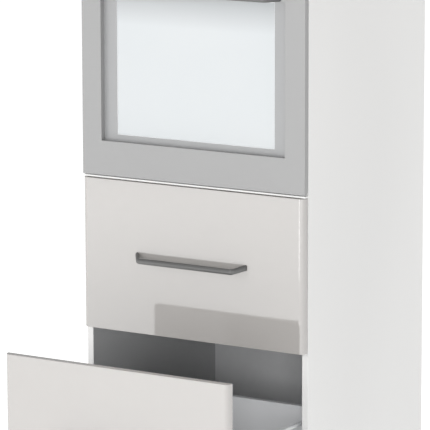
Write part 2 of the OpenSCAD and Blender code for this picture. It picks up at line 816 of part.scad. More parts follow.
// Wire ladders on both walls: uprights with lugs at the wall, and one rod for each level
module rack_supports() {
    y0 = casing_y + 25;
    y1 = y0 + rack_l + 20;
    up_x = cav_x - 3.5;
    up_d = wire_d - 1;
    low = level_z(0) - 12;
    high = level_z(level_count - 1) + 12;
    color(zinc) both_sides() for (y = [y0, y1]) {
        translate([up_x, y, low - up_d / 2]) cylinder(d = up_d, h = high - low + up_d);
        for (z = [low, high]) rod_x(up_d, up_x, cav_x, y, z);
        for (k = [0:level_count - 1]) rod_x(up_d, level_x, up_x, y, level_z(k));
    }
    color(zinc) both_sides() for (k = [0:level_count - 1]) rod_y(wire_d, level_x, y0 - 3, y1 + 3, level_z(k));
}

function level_z(k) = cav_z0 + level_first + k * level_step;

rack_y = casing_y + rack_back;
rack_x = level_x - 0.5;

// Wire shelf: a frame with bars from front to back
module wire_rack() {
    z = level_z(rack_level) + wire_d / 2 + rack_d / 2;
    y1 = rack_y + rack_l;
    color(zinc) {
        both_sides() rod_y(rack_d, rack_x, rack_y, y1, z);
        for (y = [rack_y + rack_d, y1 - rack_d, (rack_y + y1) / 2]) rod_x(rack_d, -rack_x, rack_x, y, z);
        for (k = [1:bar_count]) {
            x = -rack_x + k * 2 * rack_x / (bar_count + 1);
            rod_y(bar_d, x, rack_y + rack_d / 2, y1 - rack_d / 2, z + (rack_d - bar_d) / 2);
        }
    }
}

// Shallow enamelled tray whose rim lies on the wires
module baking_tray() {
    z = level_z(rack_level - tray_below) + wire_d / 2;
    y1 = rack_y + rack_l;
    bowl_x = level_x - wire_d / 2 - 2;
    t = sheet_t;
    color(enamel) difference() {
        union() {
            block([-bowl_x, rack_y + 8, z - bowl_h], [bowl_x, y1 - 8, z + t]);
            block([-rack_x - 2, rack_y, z], [rack_x + 2, y1, z + t]);
        }
        block([-bowl_x + t, rack_y + 8 + t, z - bowl_h + t], [bowl_x - t, y1 - 8 - t, z + t + 1]);
    }
}

// Cover in front of the fan, with a ring of holes and an inlet in the middle
module fan_cover() {
    x = fan_d / 2 + fan_rim;
    y0 = cav_rear - fan_cover_d;
    t = sheet_t;
    color(enamel) difference() {
        block([-x, y0, fan_z - x], [x, cav_rear, fan_z + x]);
        block([-x + t, y0 + t, fan_z - x + t], [x - t, cav_rear + 1, fan_z + x - t]);
        for (ring = [[0, 1], [14, 6], [28, 12], [42, 18]], k = [0:ring[1] - 1])
            rotate_y_at(k * 360 / ring[1], ring[0]) cylinder(d = 9, h = 6);
        for (sx = [-1, 1], sz = [-1, 1])
            rod_y(20, sx * (x - 18), y0 - 2, y0 + 4, fan_z + sz * (x - 18));
    }
}

module rotate_y_at(a, r) {
    translate([r * cos(a), cav_rear - fan_cover_d - 2, fan_z + r * sin(a)]) rotate([-90, 0, 0]) children();
}

// Fan wheel: a disc with straight blades, and the shaft that runs into the motor
module fan_rotor() {
    y1 = cav_rear - 3;
    disc_t = 1.5;
    blade_y = y1 - 1 - blade_d;
    color(zinc) {
        rod_y(fan_d, 0, y1 - disc_t, y1, fan_z);
        rod_y(shaft_d, 0, blade_y - 1, motor_y + motor_l / 2, fan_z);
        rod_y(shaft_d * 2.75, 0, blade_y + 1, y1 - 1, fan_z);
        for (k = [0:fan_blades - 1]) translate([0, blade_y, fan_z]) rotate([0, k * 360 / fan_blades, 0])
            translate([fan_d / 2 - blade_l - 2, 0, -1]) cube([blade_l, blade_d, 2]);
    }
}

module fan_motor() {
    plate_x = motor_d / 2 + 28;
    color(black_plastic) difference() {
        union() {
            rod_y(motor_d, 0, motor_y, motor_y + motor_l, fan_z);
            block([-plate_x, motor_y, fan_z - 10], [plate_x, motor_y + 2, fan_z + 10]);
        }
        rod_y(shaft_d + 2 * pin_clear, 0, motor_y - 1, motor_y + motor_l - 8, fan_z);
    }
}

// Heating rod under the roof: four runs joined by half turns, with both ends in the rear wall
module grill_element() {
    z = cav_z1 - rod_drop;
    y0 = casing_y + rod_end + rod_turn;
    y1 = cav_rear - rod_end - rod_turn;
    r = rod_turn;
    color([0.30, 0.28, 0.27]) translate([0, 0, z]) {
        for (s = [-1, 1]) {
            rod_y(rod_d, s * 5 * r, y0, cav_rear, 0);
            rod_y(rod_d, s * 3 * r, y0, y1, 0);
            rod_y(rod_d, s * r, y0, y1, 0);
            translate([s * 4 * r, y0, 0]) half_turn(r, -90);
            translate([s * 2 * r, y1, 0]) half_turn(r, 90);
        }
        translate([0, y0, 0]) half_turn(r, -90);
    }
}

// Half a ring of the heating rod, bulging towards the given direction
module half_turn(r, a) {
    rotate([0, 0, a - 90]) rotate_extrude(angle = 180) translate([r, 0]) circle(d = rod_d);
}

// Sealing ring round the mouth
module door_gasket() {
    w = 7;
    color(rubber) difference() {
        block([-cav_x - 2 - w, plate_y - gasket_t, cav_z0 - 2 - w], [cav_x + 2 + w, plate_y, cav_z1 + 2 + w]);
        block([-cav_x - 2, plate_y - gasket_t - 1, cav_z0 - 2], [cav_x + 2, plate_y + 1, cav_z1 + 2]);
    }
}

tongue_r = 3;
slot_gap = 0.4;

// Two brackets on the front plate. Each has a tongue with the eye for the door's pin.
module oven_hinge_brackets() {
    foot_half = bracket_foot_w / 2;
    color(zinc) both_sides() difference() {
        union() {
            block([pivot_x - foot_half, plate_y - 3, niche_z + 4],
                  [pivot_x + foot_half, plate_y, pivot_z + bracket_rise]);
            block([pivot_x - tongue_w / 2, pivot_y, pivot_z - tongue_r],
                  [pivot_x + tongue_w / 2, plate_y - 2, pivot_z + tongue_r]);
            rod_x(2 * tongue_r, pivot_x - tongue_w / 2, pivot_x + tongue_w / 2, pivot_y, pivot_z);
        }
        rod_x(pivot_d + 2 * pin_clear, pivot_x - tongue_w, pivot_x + tongue_w, pivot_y, pivot_z);
    }
}

panel_back_y = plate_y + 2;

// Control panel: a folded front with a shallow hollow box behind it and holes for the knobs' shafts
module control_panel() {
    t = 1.6;
    color(oven_grey) difference() {
        union() {
            block([-oven_x, door_face_y, panel_z], [oven_x, door_face_y + frame_t, oven_top_z]);
            block([-casing_x, door_face_y + frame_t - 1, panel_z], [casing_x, panel_back_y, casing_top_z]);
        }
        block([-oven_x + t, door_face_y + t, panel_z + t],
              [oven_x - t, door_face_y + frame_t - t, oven_top_z - t]);
        block([-casing_x + t, door_face_y + t, panel_z + t],
              [casing_x - t, panel_back_y + 1, casing_top_z - t]);
        for (s = [-1, 1])
            rod_y(shaft_d + 2 * pin_clear, s * knob_x, door_face_y - 1, door_face_y + t + 1, knob_z);
        block([-display_w / 2, door_face_y - 1, knob_z - display_h / 2],
              [display_w / 2, door_face_y + t + 1, knob_z + display_h / 2]);
    }
}

module display_glass() {
    c = 0.15;
    color([0.05, 0.05, 0.06])
        block([-display_w / 2 + c, door_face_y - 0.2, knob_z - display_h / 2 + c],
              [display_w / 2 - c, door_face_y + 3, knob_z + display_h / 2 - c]);
}

// Knob with a grip bar across its face and a shaft through the panel
module knob(x) {
    color(handle_steel) {
        rod_y(knob_d, x, door_face_y - knob_l * 0.6, door_face_y - 1, knob_z);
        rod_y(knob_d - 6, x, door_face_y - knob_l * 0.75, door_face_y - knob_l * 0.5, knob_z);
        block([x - 4, door_face_y - knob_l, knob_z - knob_d / 2 + 4],
              [x + 4, door_face_y - knob_l * 0.7, knob_z + knob_d / 2 - 4]);
        rod_y(shaft_d, x, door_face_y - 2, door_face_y + 12, knob_z);
    }
}

module left_knob() { knob(-knob_x); }
module right_knob() { knob(knob_x); }

// Mains terminal on the casing's rear wall, with the gland's hole
module terminal_box() {
    x = -casing_x + terminal_inset;
    z = niche_z + terminal_rise;
    color(black_plastic) difference() {
        block([x, casing_rear, z], [x + terminal_w, casing_rear + terminal_d, z + terminal_h]);
        rod_y(gland_d, x + terminal_w / 2, casing_rear + terminal_d - gland_l,
              casing_rear + terminal_d + 1, z + terminal_h / 2);
    }
}

// Four screws through the casing's sides into the side panels
module fixing_screws() {
    head_h = 2.4;
    x = casing_x - sheet_t;
    color(zinc) for (z = screw_z) both_sides() {
        rod_x(2 * screw_d, x - head_h, x, screw_y, z);
        rod_x(screw_d, x - 1, in_x + screw_in, screw_y, z);
    }
}

// Oven door

// Outer frame with a rounded lower back edge and a slot at each hinge, open to the back and below
module door_frame() {
    z0 = oven_z;
    slot = tongue_w / 2 + 1;
    color(oven_grey) difference() {
        union() {
            block([-oven_x, door_face_y, pivot_z], [oven_x, mask_y, z0 + door_h]);
            block([-oven_x, door_face_y, z0], [oven_x, pivot_y, pivot_z + 1]);
            rod_x(2 * pivot_r, -oven_x, oven_x, pivot_y, pivot_z);
        }
        block([-open_x, door_face_y - 1, open_z0], [open_x, mask_y + 1, open_z1]);
        block([-oven_x - 1, door_face_y - 2 * pivot_r, z0 - 1],
              [oven_x + 1, door_face_y, pivot_z + 2 * pivot_r]);
        both_sides() {
            block([pivot_x - slot, pivot_y - tongue_r - slot_gap, z0 - 1],
                  [pivot_x + slot, mask_y + 1, pivot_z + tongue_r + slot_gap]);
            rod_x(pivot_d + 0.06, pivot_x - 15, pivot_x + 15, pivot_y, pivot_z);
        }
    }
}

module door_hinge_pins() {
    color(zinc) both_sides() rod_x(pivot_d, pivot_x - 14.5, pivot_x + 14.5, pivot_y, pivot_z);
}

// Recessed mask round the window
module door_mask() {
    color(mask_grey) difference() {
        block([-casing_x, mask_y, inner_z0], [casing_x, pane_y, inner_z1]);
        block([-win_x, mask_y - 1, win_z0], [win_x, pane_y + 1, win_z1]);
    }
}

module door_window() {
    lap = 14;
    color(pane) block([-win_x - lap, pane_y, win_z0 - lap], [win_x + lap, tray_y, win_z1 + lap]);
}

// Folded tray that keeps the two panes apart
module door_inner_tray() {
    t = sheet_t;
    color(oven_grey) difference() {
        block([-casing_x, pane_y, inner_z0], [casing_x, inner_pane_y, inner_z1]);
        block([-casing_x + t, pane_y - 1, inner_z0 + t], [casing_x - t, inner_pane_y - t, inner_z1 - t]);
        block([-win_x + 6, inner_pane_y - 5, win_z0 + 6], [win_x - 6, inner_pane_y + 1, win_z1 - 6]);
    }
}

module door_inner_glass() {
    color(pane) block([-cav_x - 12, inner_pane_y, cav_z0 - 12], [cav_x + 12, door_back_y, cav_z1 + 12]);
}

module door_handle() {
    z = oven_z + door_h - oven_handle_drop;
    color(handle_steel) translate([0, door_face_y, z])
        bow(oven_handle_l, oven_handle_reach, oven_handle_t, oven_handle_w);
}

left_side_panel();
right_side_panel();
bottom_panel();
oven_shelf();
shelf_nosing();
niche_top_panel();
top_panel();
lower_back_panel();
upper_back_panel();
plinth_board();
levelling_feet();
adjustable_shelf();
shelf_pins();
hinge_arms();
wall_brackets();
cabinet_runners();
upper_door();
upper_door_handle();
hinge_cups();
lower_front();
lower_handle();
lower_metal_sides();
lower_base();
lower_back_wall();
lower_gallery_rails();
lower_middle_runners();
upper_front();
upper_handle();
upper_metal_sides();
upper_base();
upper_back_wall();
upper_gallery_rails();
upper_middle_runners();
oven_casing();
oven_front_frame();
oven_cavity();
oven_insulation();
rack_supports();
wire_rack();
baking_tray();
fan_cover();
fan_rotor();
fan_motor();
grill_element();
door_gasket();
oven_hinge_brackets();
control_panel();
display_glass();
terminal_box();
fixing_screws();
door_frame();
door_mask();
door_window();
door_inner_tray();
door_inner_glass();
door_handle();
door_hinge_pins();
left_knob();
right_knob();
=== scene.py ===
"""Looks of the tall oven cabinet: finishes, soft edges, rounded handles and small fittings on its solids.

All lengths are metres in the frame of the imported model: X along the width, Y to the back, Z up.
"""

import json
from collections import namedtuple
from math import atan2, copysign, cos, pi, radians, sin, tan

import bmesh
import bpy
from mathutils import Matrix, Vector


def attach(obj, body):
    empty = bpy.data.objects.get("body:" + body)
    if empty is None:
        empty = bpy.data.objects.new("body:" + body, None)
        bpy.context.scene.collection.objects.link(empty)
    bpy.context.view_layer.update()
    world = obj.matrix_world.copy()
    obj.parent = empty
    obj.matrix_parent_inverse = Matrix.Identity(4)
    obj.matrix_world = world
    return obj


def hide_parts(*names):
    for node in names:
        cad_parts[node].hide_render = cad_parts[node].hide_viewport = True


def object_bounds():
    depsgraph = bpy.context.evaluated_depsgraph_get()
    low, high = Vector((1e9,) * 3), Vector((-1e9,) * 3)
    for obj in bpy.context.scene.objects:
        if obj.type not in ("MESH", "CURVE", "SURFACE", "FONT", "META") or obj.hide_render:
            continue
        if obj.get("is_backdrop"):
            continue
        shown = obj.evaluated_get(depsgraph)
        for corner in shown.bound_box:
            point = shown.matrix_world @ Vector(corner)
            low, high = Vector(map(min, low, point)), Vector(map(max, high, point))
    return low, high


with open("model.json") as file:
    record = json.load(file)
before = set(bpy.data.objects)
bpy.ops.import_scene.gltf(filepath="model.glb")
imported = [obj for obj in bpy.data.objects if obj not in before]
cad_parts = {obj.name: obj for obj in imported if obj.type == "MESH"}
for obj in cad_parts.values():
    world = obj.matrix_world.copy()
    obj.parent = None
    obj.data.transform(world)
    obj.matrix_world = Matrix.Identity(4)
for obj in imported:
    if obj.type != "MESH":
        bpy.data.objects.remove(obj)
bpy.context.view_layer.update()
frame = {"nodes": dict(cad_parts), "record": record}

MM = 0.001
RECORD = frame["record"]
BODY_OF = {node: body for body, nodes in RECORD["behaviour"]["bodies"].items() for node in nodes}
SLOT_OF = {part["node"]: part["material_slot"] for part in RECORD["subparts"]}

Corner = namedtuple("Corner", "x y z")


def corners(node):
    """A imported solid's low and high corner, to a micrometre."""
    places = [vertex.co for vertex in frame["nodes"][node].data.vertices]
    return [Corner(*(round(end(part), 6) for part in zip(*places))) for end in (min, max)]


# Planes and places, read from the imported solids
side_low, side_high = corners("right_side_panel")
front_low, front_high = corners("upper_front")
drawn_low, drawn_high = corners("lower_front")
INNER_X = side_low.x                    # inner faces of the side panels, left and right
REAR_Y = side_high.y                    # rear edges of the boards, where the back panels begin
FRONT_Y = front_low.y                   # faces of the closed fronts
FRONT_BACK_Y = front_high.y             # backs of the closed fronts
OVEN_FACE_Y = corners("control_panel")[0].y
METAL_SIDE_REAR_Y = corners("upper_metal_sides")[1].y
REST_OPEN = front_low.y - drawn_low.y   # how far the lower pull-out is drawn at rest
PULL_H = front_high.z - front_low.z
LOWER_Z = drawn_low.z                   # bottom edges of the two pull-outs' fronts
UPPER_Z = front_low.z

# The window's pane laps behind the mask all round the mask's opening
window_low, window_high = corners("door_window")
WINDOW_LAP = 14 * MM
OPENING_X = window_high.x - WINDOW_LAP
OPENING_LOW_Z = window_low.z + WINDOW_LAP
OPENING_HIGH_Z = window_high.z - WINDOW_LAP

# Bow handles: distance between the screws, reach of the bar's middle line, the bar's thickness and width,
# and how far the ends climb
FRONT_BOW = {"spacing": 288 * MM, "reach": 29 * MM, "thick": 7 * MM, "width": 13.5 * MM, "lift": 6.6 * MM}
OVEN_BOW = {"spacing": 460 * MM, "reach": 35.5 * MM, "thick": 9 * MM, "width": 17 * MM, "lift": 0.0}
FOOT_OUTSIDE_SCREW = 2.2 * MM
BAR_INSIDE_SCREW = 16.4 * MM
FOOT_HEIGHT = 2.5 * MM
FOOT_BEND = 5 * MM
BAR_BEND = 11 * MM
BEND_STEPS = 8
BEND_SHARE = 0.48       # the largest share of a straight stretch that a bend takes up
CLIMB_START = 4 * MM
SECTION_POINTS = 28
OVALNESS = 0.8

# Angles in degrees: edges over the first are sharp, or over the second on a round bar, and faces that
# differ by less than the last are one flat face
SHARP_ANGLE = 35.0
ROUND_BAR_ANGLE = 50.0
FLAT_ANGLE = 0.3
MERGE_DISTANCE = 0.002 * MM


# Making materials

def add_node(tree, kind, inputs=None, **settings):
    """A node with its settings made, its inputs given as a value or as the socket that feeds them."""
    made = tree.nodes.new(kind)
    for key, value in settings.items():
        setattr(made, key, value)
    for key, value in (inputs or {}).items():
        if isinstance(value, bpy.types.NodeSocket):
            tree.links.new(value, made.inputs[key])
        else:
            made.inputs[key].default_value = value
    return made


def object_place(tree, stretch=(1, 1, 1)):
    """The shaded point in the object's own coordinates, which are the model's frame."""
    place = add_node(tree, "ShaderNodeTexCoord").outputs["Object"]
    return add_node(tree, "ShaderNodeMapping", {"Vector": place, "Scale": stretch}).outputs["Vector"]


def grain(tree, scale, detail=3.0, stretch=(1, 1, 1), roughness=0.5):
    """Noise on the object's own coordinates, stretched where a brushed or drawn finish needs it."""
    sizes = {"Vector": object_place(tree, stretch), "Scale": scale, "Detail": detail, "Roughness": roughness}
    return add_node(tree, "ShaderNodeTexNoise", sizes).outputs["Fac"]


def spread(tree, value, low, high, from_low=0.32, from_high=0.68):
    """A value's usual range drawn out to low and high; noise seldom leaves 0.32 to 0.68."""
    sizes = {"Value": value, "From Min": from_low, "From Max": from_high, "To Min": low, "To Max": high}
    return add_node(tree, "ShaderNodeMapRange", sizes).outputs["Result"]


def blend_colours(tree, amount, first, second, mode="MIX"):
    """The first colour at amount 0 and the second at 1; each may be a value or a socket."""
    made = add_node(tree, "ShaderNodeMix", data_type="RGBA", blend_type=mode)
    for key, value in ((0, amount), (6, first), (7, second)):
        if isinstance(value, bpy.types.NodeSocket):
            tree.links.new(value, made.inputs[key])
        else:
            made.inputs[key].default_value = value if key == 0 else (*value, 1.0)
    return made.outputs[2]


def tinted(colour, factor):
    return tuple(min(1.0, part * factor) for part in colour)


def new_surface(name, constants):
    """A material with an empty tree but for its shader, whose constant values sit on its own sockets."""
    material = bpy.data.materials.new(name)
    material.use_nodes = True
    tree = material.node_tree
    tree.nodes.clear()
    shader = add_node(tree, "ShaderNodeBsdfPrincipled", constants)
    output = add_node(tree, "ShaderNodeOutputMaterial")
    tree.links.new(shader.outputs["BSDF"], output.inputs["Surface"])
    return material, tree, shader


def roughen(tree, shader, height, depth, strength=0.4):
    """Gives the shader a relief of the stated depth."""
    bump = add_node(tree, "ShaderNodeBump", {"Height": height, "Strength": strength, "Distance": depth})
    tree.links.new(bump.outputs["Normal"], shader.inputs["Normal"])


def plain_finish(name, colour, rough, vary, broad, fine, relief, stretch=(1, 1, 1), others=None):
    """A finish with broad unevenness in its colour and a fine grain in its gloss and relief.

    Vary is the share by which colour changes, broad and fine are the scales of the two grains, and others
    holds the shader's remaining constants by name.
    """
    material, tree, shader = new_surface(name, others or {})
    wide = grain(tree, broad, 2.0)
    fine_grain = grain(tree, fine, 4.0, stretch)
    wide_colour = blend_colours(tree, spread(tree, wide, 0.0, 1.0),
                                tinted(colour, 1 - vary), tinted(colour, 1 + vary))
    fine_shade = spread(tree, fine_grain, 1 - vary, 1 + 0.5 * vary)
    shade = add_node(tree, "ShaderNodeCombineColor", {0: fine_shade, 1: fine_shade, 2: fine_shade}).outputs[0]
    base = blend_colours(tree, 1.0, wide_colour, shade, "MULTIPLY")
    tree.links.new(base, shader.inputs["Base Color"])
    tree.links.new(spread(tree, fine_grain, rough * 0.85, rough * 1.15), shader.inputs["Roughness"])
    roughen(tree, shader, fine_grain, relief)
    return material


def hardboard():
    """Back panels: painted towards the room inside, raw brown fibre towards the wall."""
    material, tree, shader = new_surface("hardboard", {"Roughness": 0.6})
    depth = add_node(tree, "ShaderNodeSeparateXYZ", {0: object_place(tree)}).outputs["Y"]
    fibre = grain(tree, 260.0, 6.0, roughness=0.7)
    flakes = grain(tree, 45.0, 5.0)
    raw = blend_colours(tree, spread(tree, fibre, 0.0, 1.0), (0.20, 0.125, 0.070), (0.34, 0.225, 0.135))
    raw = blend_colours(tree, spread(tree, flakes, 0.0, 0.5), raw, (0.26, 0.165, 0.095))
    painted = blend_colours(tree, spread(tree, flakes, 0.0, 1.0), (0.785, 0.79, 0.80), (0.815, 0.82, 0.83))
    behind = spread(tree, depth, 0.0, 1.0, REAR_Y + 0.0005, REAR_Y + 0.001)
    tree.links.new(blend_colours(tree, behind, painted, raw), shader.inputs["Base Color"])
    roughen(tree, shader, fibre, 0.00008)
    return material


def enamel(name, colour, speck):
    """Fired enamel: glossy, dark, with the small pale specks of the oven's inside."""
    material, tree, shader = new_surface(name, {
        "Roughness": 0.16, "Coat Weight": 0.5, "Coat Roughness": 0.08})
    cells = add_node(tree, "ShaderNodeTexVoronoi", {"Vector": object_place(tree), "Scale": 420.0})
    spots = spread(tree, cells.outputs["Distance"], 1.0, 0.0, 0.10, 0.22)
    chosen = spread(tree, grain(tree, 300.0, 2.0), 0.0, 1.0, 0.52, 0.60)
    amount = add_node(tree, "ShaderNodeMath", {0: spots, 1: chosen}, operation="MULTIPLY").outputs[0]
    tree.links.new(blend_colours(tree, amount, colour, speck), shader.inputs["Base Color"])
    roughen(tree, shader, grain(tree, 90.0, 3.0), 0.0001, 0.25)
    return material


def mineral_wool():
    """The insulation: yellowish strands that lie along the oven's depth."""
    material, tree, shader = new_surface("mineral_wool", {"Roughness": 0.95})
    strands = grain(tree, 180.0, 8.0, (1.0, 0.25, 2.0), 0.75)
    colour = blend_colours(tree, spread(tree, strands, 0.0, 1.0), (0.42, 0.36, 0.20), (0.74, 0.68, 0.48))
    tree.links.new(colour, shader.inputs["Base Color"])
    roughen(tree, shader, strands, 0.0012, 0.8)
    return material


def braided_seal():
    """The door seal's braid: slanted waves both ways, with a dull sheen."""
    material, tree, shader = new_surface("braided_seal", {"Roughness": 0.75, "Sheen Weight": 0.2})
    place = object_place(tree, (1.0, 0.4, 1.0))
    waves = []
    for turn in (pi / 4, -pi / 4):
        slanted = add_node(tree, "ShaderNodeMapping", {"Vector": place, "Rotation": (0, turn, 0)})
        wave = add_node(tree, "ShaderNodeTexWave", {
            "Vector": slanted.outputs["Vector"], "Scale": 130.0, "Distortion": 0.6})
        waves.append(wave.outputs["Fac"])
    braid = add_node(tree, "ShaderNodeMath", {0: waves[0], 1: waves[1]}, operation="MAXIMUM").outputs[0]
    colour = blend_colours(tree, braid, (0.02, 0.02, 0.021), (0.075, 0.073, 0.070))
    tree.links.new(colour, shader.inputs["Base Color"])
    roughen(tree, shader, braid, 0.0004, 0.7)
    return material


def pane_painted_reflection_and_shadow():
    """The window: a glossy pane whose pale, bluish white colour is a painted reflection of bright
    surroundings, darker under the handle as a painted shadow.
    """
    material, tree, shader = new_surface("pane_painted_reflection_and_shadow", {
        "Roughness": 0.06, "Coat Weight": 0.6, "Coat Roughness": 0.02, "Specular IOR Level": 0.5})
    cloud = grain(tree, 3.0, 2.0)
    # painted reflection: the pale bluish white stands in for bright surroundings mirrored in the glass
    colour = blend_colours(tree, spread(tree, cloud, 0.0, 1.0), (0.566, 0.594, 0.607), (0.586, 0.607, 0.618))
    height = add_node(tree, "ShaderNodeSeparateXYZ", {0: object_place(tree)}).outputs["Z"]
    # painted shadow of the handle: the colour darkens over the top 74 mm of the opening
    shade = spread(tree, height, 0.0, 1.0, OPENING_HIGH_Z - 74 * MM, OPENING_HIGH_Z + MM)
    colour = blend_colours(tree, shade, colour, (0.40, 0.415, 0.425))
    tree.links.new(colour, shader.inputs["Base Color"])
    roughen(tree, shader, grain(tree, 12.0, 2.0), 0.0002, 0.05)
    return material


def clear_pane(band):
    """The inner pane: glossy, opaque grey glass with a dark printed border, which Object coordinates place.
    """
    low, high = corners("door_inner_glass")
    material, tree, shader = new_surface("clear_pane", {"Roughness": 0.03, "Coat Weight": 0.3, "IOR": 1.5})
    parts = add_node(tree, "ShaderNodeSeparateXYZ", {0: object_place(tree)})
    side = add_node(tree, "ShaderNodeMath", {0: parts.outputs["X"]}, operation="ABSOLUTE").outputs[0]
    middle = (low.z + high.z) / 2
    height = add_node(tree, "ShaderNodeMath", {0: parts.outputs["Z"], 1: middle}, operation="SUBTRACT")
    height = add_node(tree, "ShaderNodeMath", {0: height.outputs[0]}, operation="ABSOLUTE").outputs[0]
    on_side = spread(tree, side, 0.0, 1.0, high.x - band, high.x - band + MM)
    on_end = spread(tree, height, 0.0, 1.0, high.z - middle - band, high.z - middle - band + MM)
    border = add_node(tree, "ShaderNodeMath", {0: on_side, 1: on_end}, operation="MAXIMUM").outputs[0]
    haze = spread(tree, grain(tree, 5.0, 2.0), 0.0, 1.0)
    inside = blend_colours(tree, haze, (0.30, 0.32, 0.33), (0.36, 0.38, 0.39))
    tree.links.new(blend_colours(tree, border, inside, (0.02, 0.02, 0.022)), shader.inputs["Base Color"])
    return material


def side_board():
    """The side panels: white outside and on their edges, with a pale grey on their inner faces that is
    painted shade of the cabinet's inside; soft streaks on the outside, longer up the panel, are painted
    reflections.
    """
    material, tree, shader = new_surface("side_board_painted_shade_and_reflection", {"Specular IOR Level": 0.5})
    across = add_node(tree, "ShaderNodeSeparateXYZ", {0: object_place(tree)}).outputs["X"]
    across = add_node(tree, "ShaderNodeMath", {0: across}, operation="ABSOLUTE").outputs[0]
    cloud = spread(tree, grain(tree, 1.3, 2.0, (1.0, 1.0, 0.45)), 0.0, 1.0)
    # painted reflection: soft streaks in the white outside, longer up the panel, stand in for reflected
    # lights
    outside = blend_colours(tree, cloud, (0.752, 0.749, 0.740), (0.826, 0.823, 0.813))
    # painted shade: the inner faces get a darker grey that stands in for the shade inside the cabinet
    painted_inside_shade = blend_colours(tree, cloud, (0.52, 0.525, 0.53), (0.54, 0.545, 0.55))
    is_outside = spread(tree, across, 0.0, 1.0, INNER_X + 0.0004, INNER_X + 0.0008)
    tree.links.new(blend_colours(tree, is_outside, painted_inside_shade, outside), shader.inputs["Base Color"])
    fine = grain(tree, 900.0, 4.0)
    tree.links.new(spread(tree, fine, 0.26, 0.34), shader.inputs["Roughness"])
    roughen(tree, shader, fine, 0.00003)
    return material


FINISH = {
    "side_board": side_board(),
    "carcass_white": plain_finish("white_laminate", (0.789, 0.786, 0.776), rough=0.30, vary=0.010, broad=1.2,
                                  fine=900.0, relief=0.03 * MM, others={"Specular IOR Level": 0.5}),
    "plinth_grey": plain_finish("matt_plinth", (0.34, 0.335, 0.325), rough=0.45, vary=0.015, broad=3.0,
                                fine=700.0, relief=0.03 * MM),
    "inside_grey": plain_finish("drawer_board", (0.60, 0.605, 0.61), rough=0.42, vary=0.02, broad=3.0,
                                fine=700.0, relief=0.03 * MM),
    "front_gloss": plain_finish("beige_lacquer", (0.408, 0.391, 0.376), rough=0.055, vary=0.006, broad=1.0,
                                fine=35.0, relief=0.02 * MM,
                                others={"IOR": 2.1, "Coat Weight": 0.6, "Coat Roughness": 0.02}),
    "handle_steel": plain_finish("brushed_bar", (0.155, 0.155, 0.153), rough=0.34, vary=0.10, broad=3.0,
                                 fine=260.0, relief=0.04 * MM, stretch=(0.03, 1, 1),
                                 others={"Metallic": 0.55}),
    "handle_steel_upright": plain_finish("brushed_bar_upright", (0.19, 0.19, 0.188), rough=0.34, vary=0.10,
                                         broad=3.0, fine=260.0, relief=0.04 * MM, stretch=(1, 1, 0.03),
                                         others={"Metallic": 0.85}),
    "drawer_metal": plain_finish("powder_coat", (0.80, 0.81, 0.825), rough=0.33, vary=0.015, broad=3.0,
                                 fine=1400.0, relief=0.06 * MM, others={"Metallic": 0.15}),
    "zinc_steel": plain_finish("zinc_plate", (0.52, 0.53, 0.545), rough=0.30, vary=0.06, broad=40.0,
                               fine=220.0, relief=0.03 * MM, stretch=(1, 0.15, 1), others={"Metallic": 1.0}),
    "oven_frame": plain_finish("satin_grey_frame", (0.343, 0.343, 0.343), rough=0.38, vary=0.010, broad=2.0,
                               fine=500.0, relief=0.02 * MM, stretch=(0.05, 1, 1), others={"Metallic": 0.10}),
    "oven_steel": plain_finish("satin_grey_steel", (0.352, 0.355, 0.359), rough=0.38, vary=0.012, broad=2.0,
                               fine=500.0, relief=0.02 * MM, stretch=(0.05, 1, 1), others={"Metallic": 0.10}),
    "enamel": enamel("speckled_enamel", (0.022, 0.023, 0.028), (0.20, 0.21, 0.23)),
    "wool": mineral_wool(),
    "seal": braided_seal(),
    "black_plastic": plain_finish("moulded_black", (0.028, 0.028, 0.030), rough=0.48, vary=0.05, broad=8.0,
                                  fine=900.0, relief=0.08 * MM),
    "knob_metal": plain_finish("turned_metal", (0.46, 0.46, 0.46), rough=0.26, vary=0.05, broad=8.0,
                               fine=500.0, relief=0.03 * MM, stretch=(1, 0.05, 1), others={"Metallic": 0.9}),
    "wire": plain_finish("polished_wire", (0.70, 0.70, 0.705), rough=0.12, vary=0.03, broad=20.0,
                         fine=500.0, relief=0.01 * MM, others={"Metallic": 1.0}),
    "heater": plain_finish("heating_rod", (0.085, 0.080, 0.078), rough=0.55, vary=0.20, broad=60.0,
                           fine=700.0, relief=0.10 * MM, others={"Metallic": 0.5}),
    "window_glass": pane_painted_reflection_and_shadow(),
    "display_glass": plain_finish("dark_display", (0.010, 0.010, 0.012), rough=0.05, vary=0.02, broad=4.0,
                                  fine=60.0, relief=0.01 * MM,
                                  others={"Coat Weight": 1.0, "Coat Roughness": 0.02}),
    "hardboard": hardboard(),
    "inner_pane": clear_pane(22 * MM),
    "mark_grey": plain_finish("printed_mark", (0.06, 0.06, 0.062), rough=0.5, vary=0.03, broad=20.0,
                              fine=800.0, relief=0.01 * MM),
    # painted highlight: a near-white strip that stands in for the glint along the window's edge
    "bright_edge": plain_finish("window_edge_painted_highlight", (0.86, 0.87, 0.88), rough=0.15, vary=0.02, broad=12.0,
                                fine=300.0, relief=0.01 * MM, others={"Coat Weight": 0.5}),
    "soft_buffer": plain_finish("clear_buffer", (0.70, 0.71, 0.70), rough=0.25, vary=0.03, broad=60.0,
                                fine=900.0, relief=0.02 * MM, others={"Transmission Weight": 0.5}),
}


# Making pieces

def new_piece(name, bm, finish, smooth_angle=SHARP_ANGLE):
    """A mesh piece at the origin, with smooth faces except over sharp edges."""
    mesh = bpy.data.meshes.new(name)
    bm.to_mesh(mesh)
    bm.free()
    for stale in ("custom_normal", "sharp_face"):
        if stale in mesh.attributes:
            mesh.attributes.remove(mesh.attributes[stale])
    mesh.materials.clear()
    mesh.materials.append(FINISH[finish])
    mesh.polygons.foreach_set("material_index", [0] * len(mesh.polygons))
    mesh.polygons.foreach_set("use_smooth", [True] * len(mesh.polygons))
    mesh.set_sharp_from_angle(angle=radians(smooth_angle))
    piece = bpy.data.objects.new(name, mesh)
    bpy.context.scene.collection.objects.link(piece)
    return piece


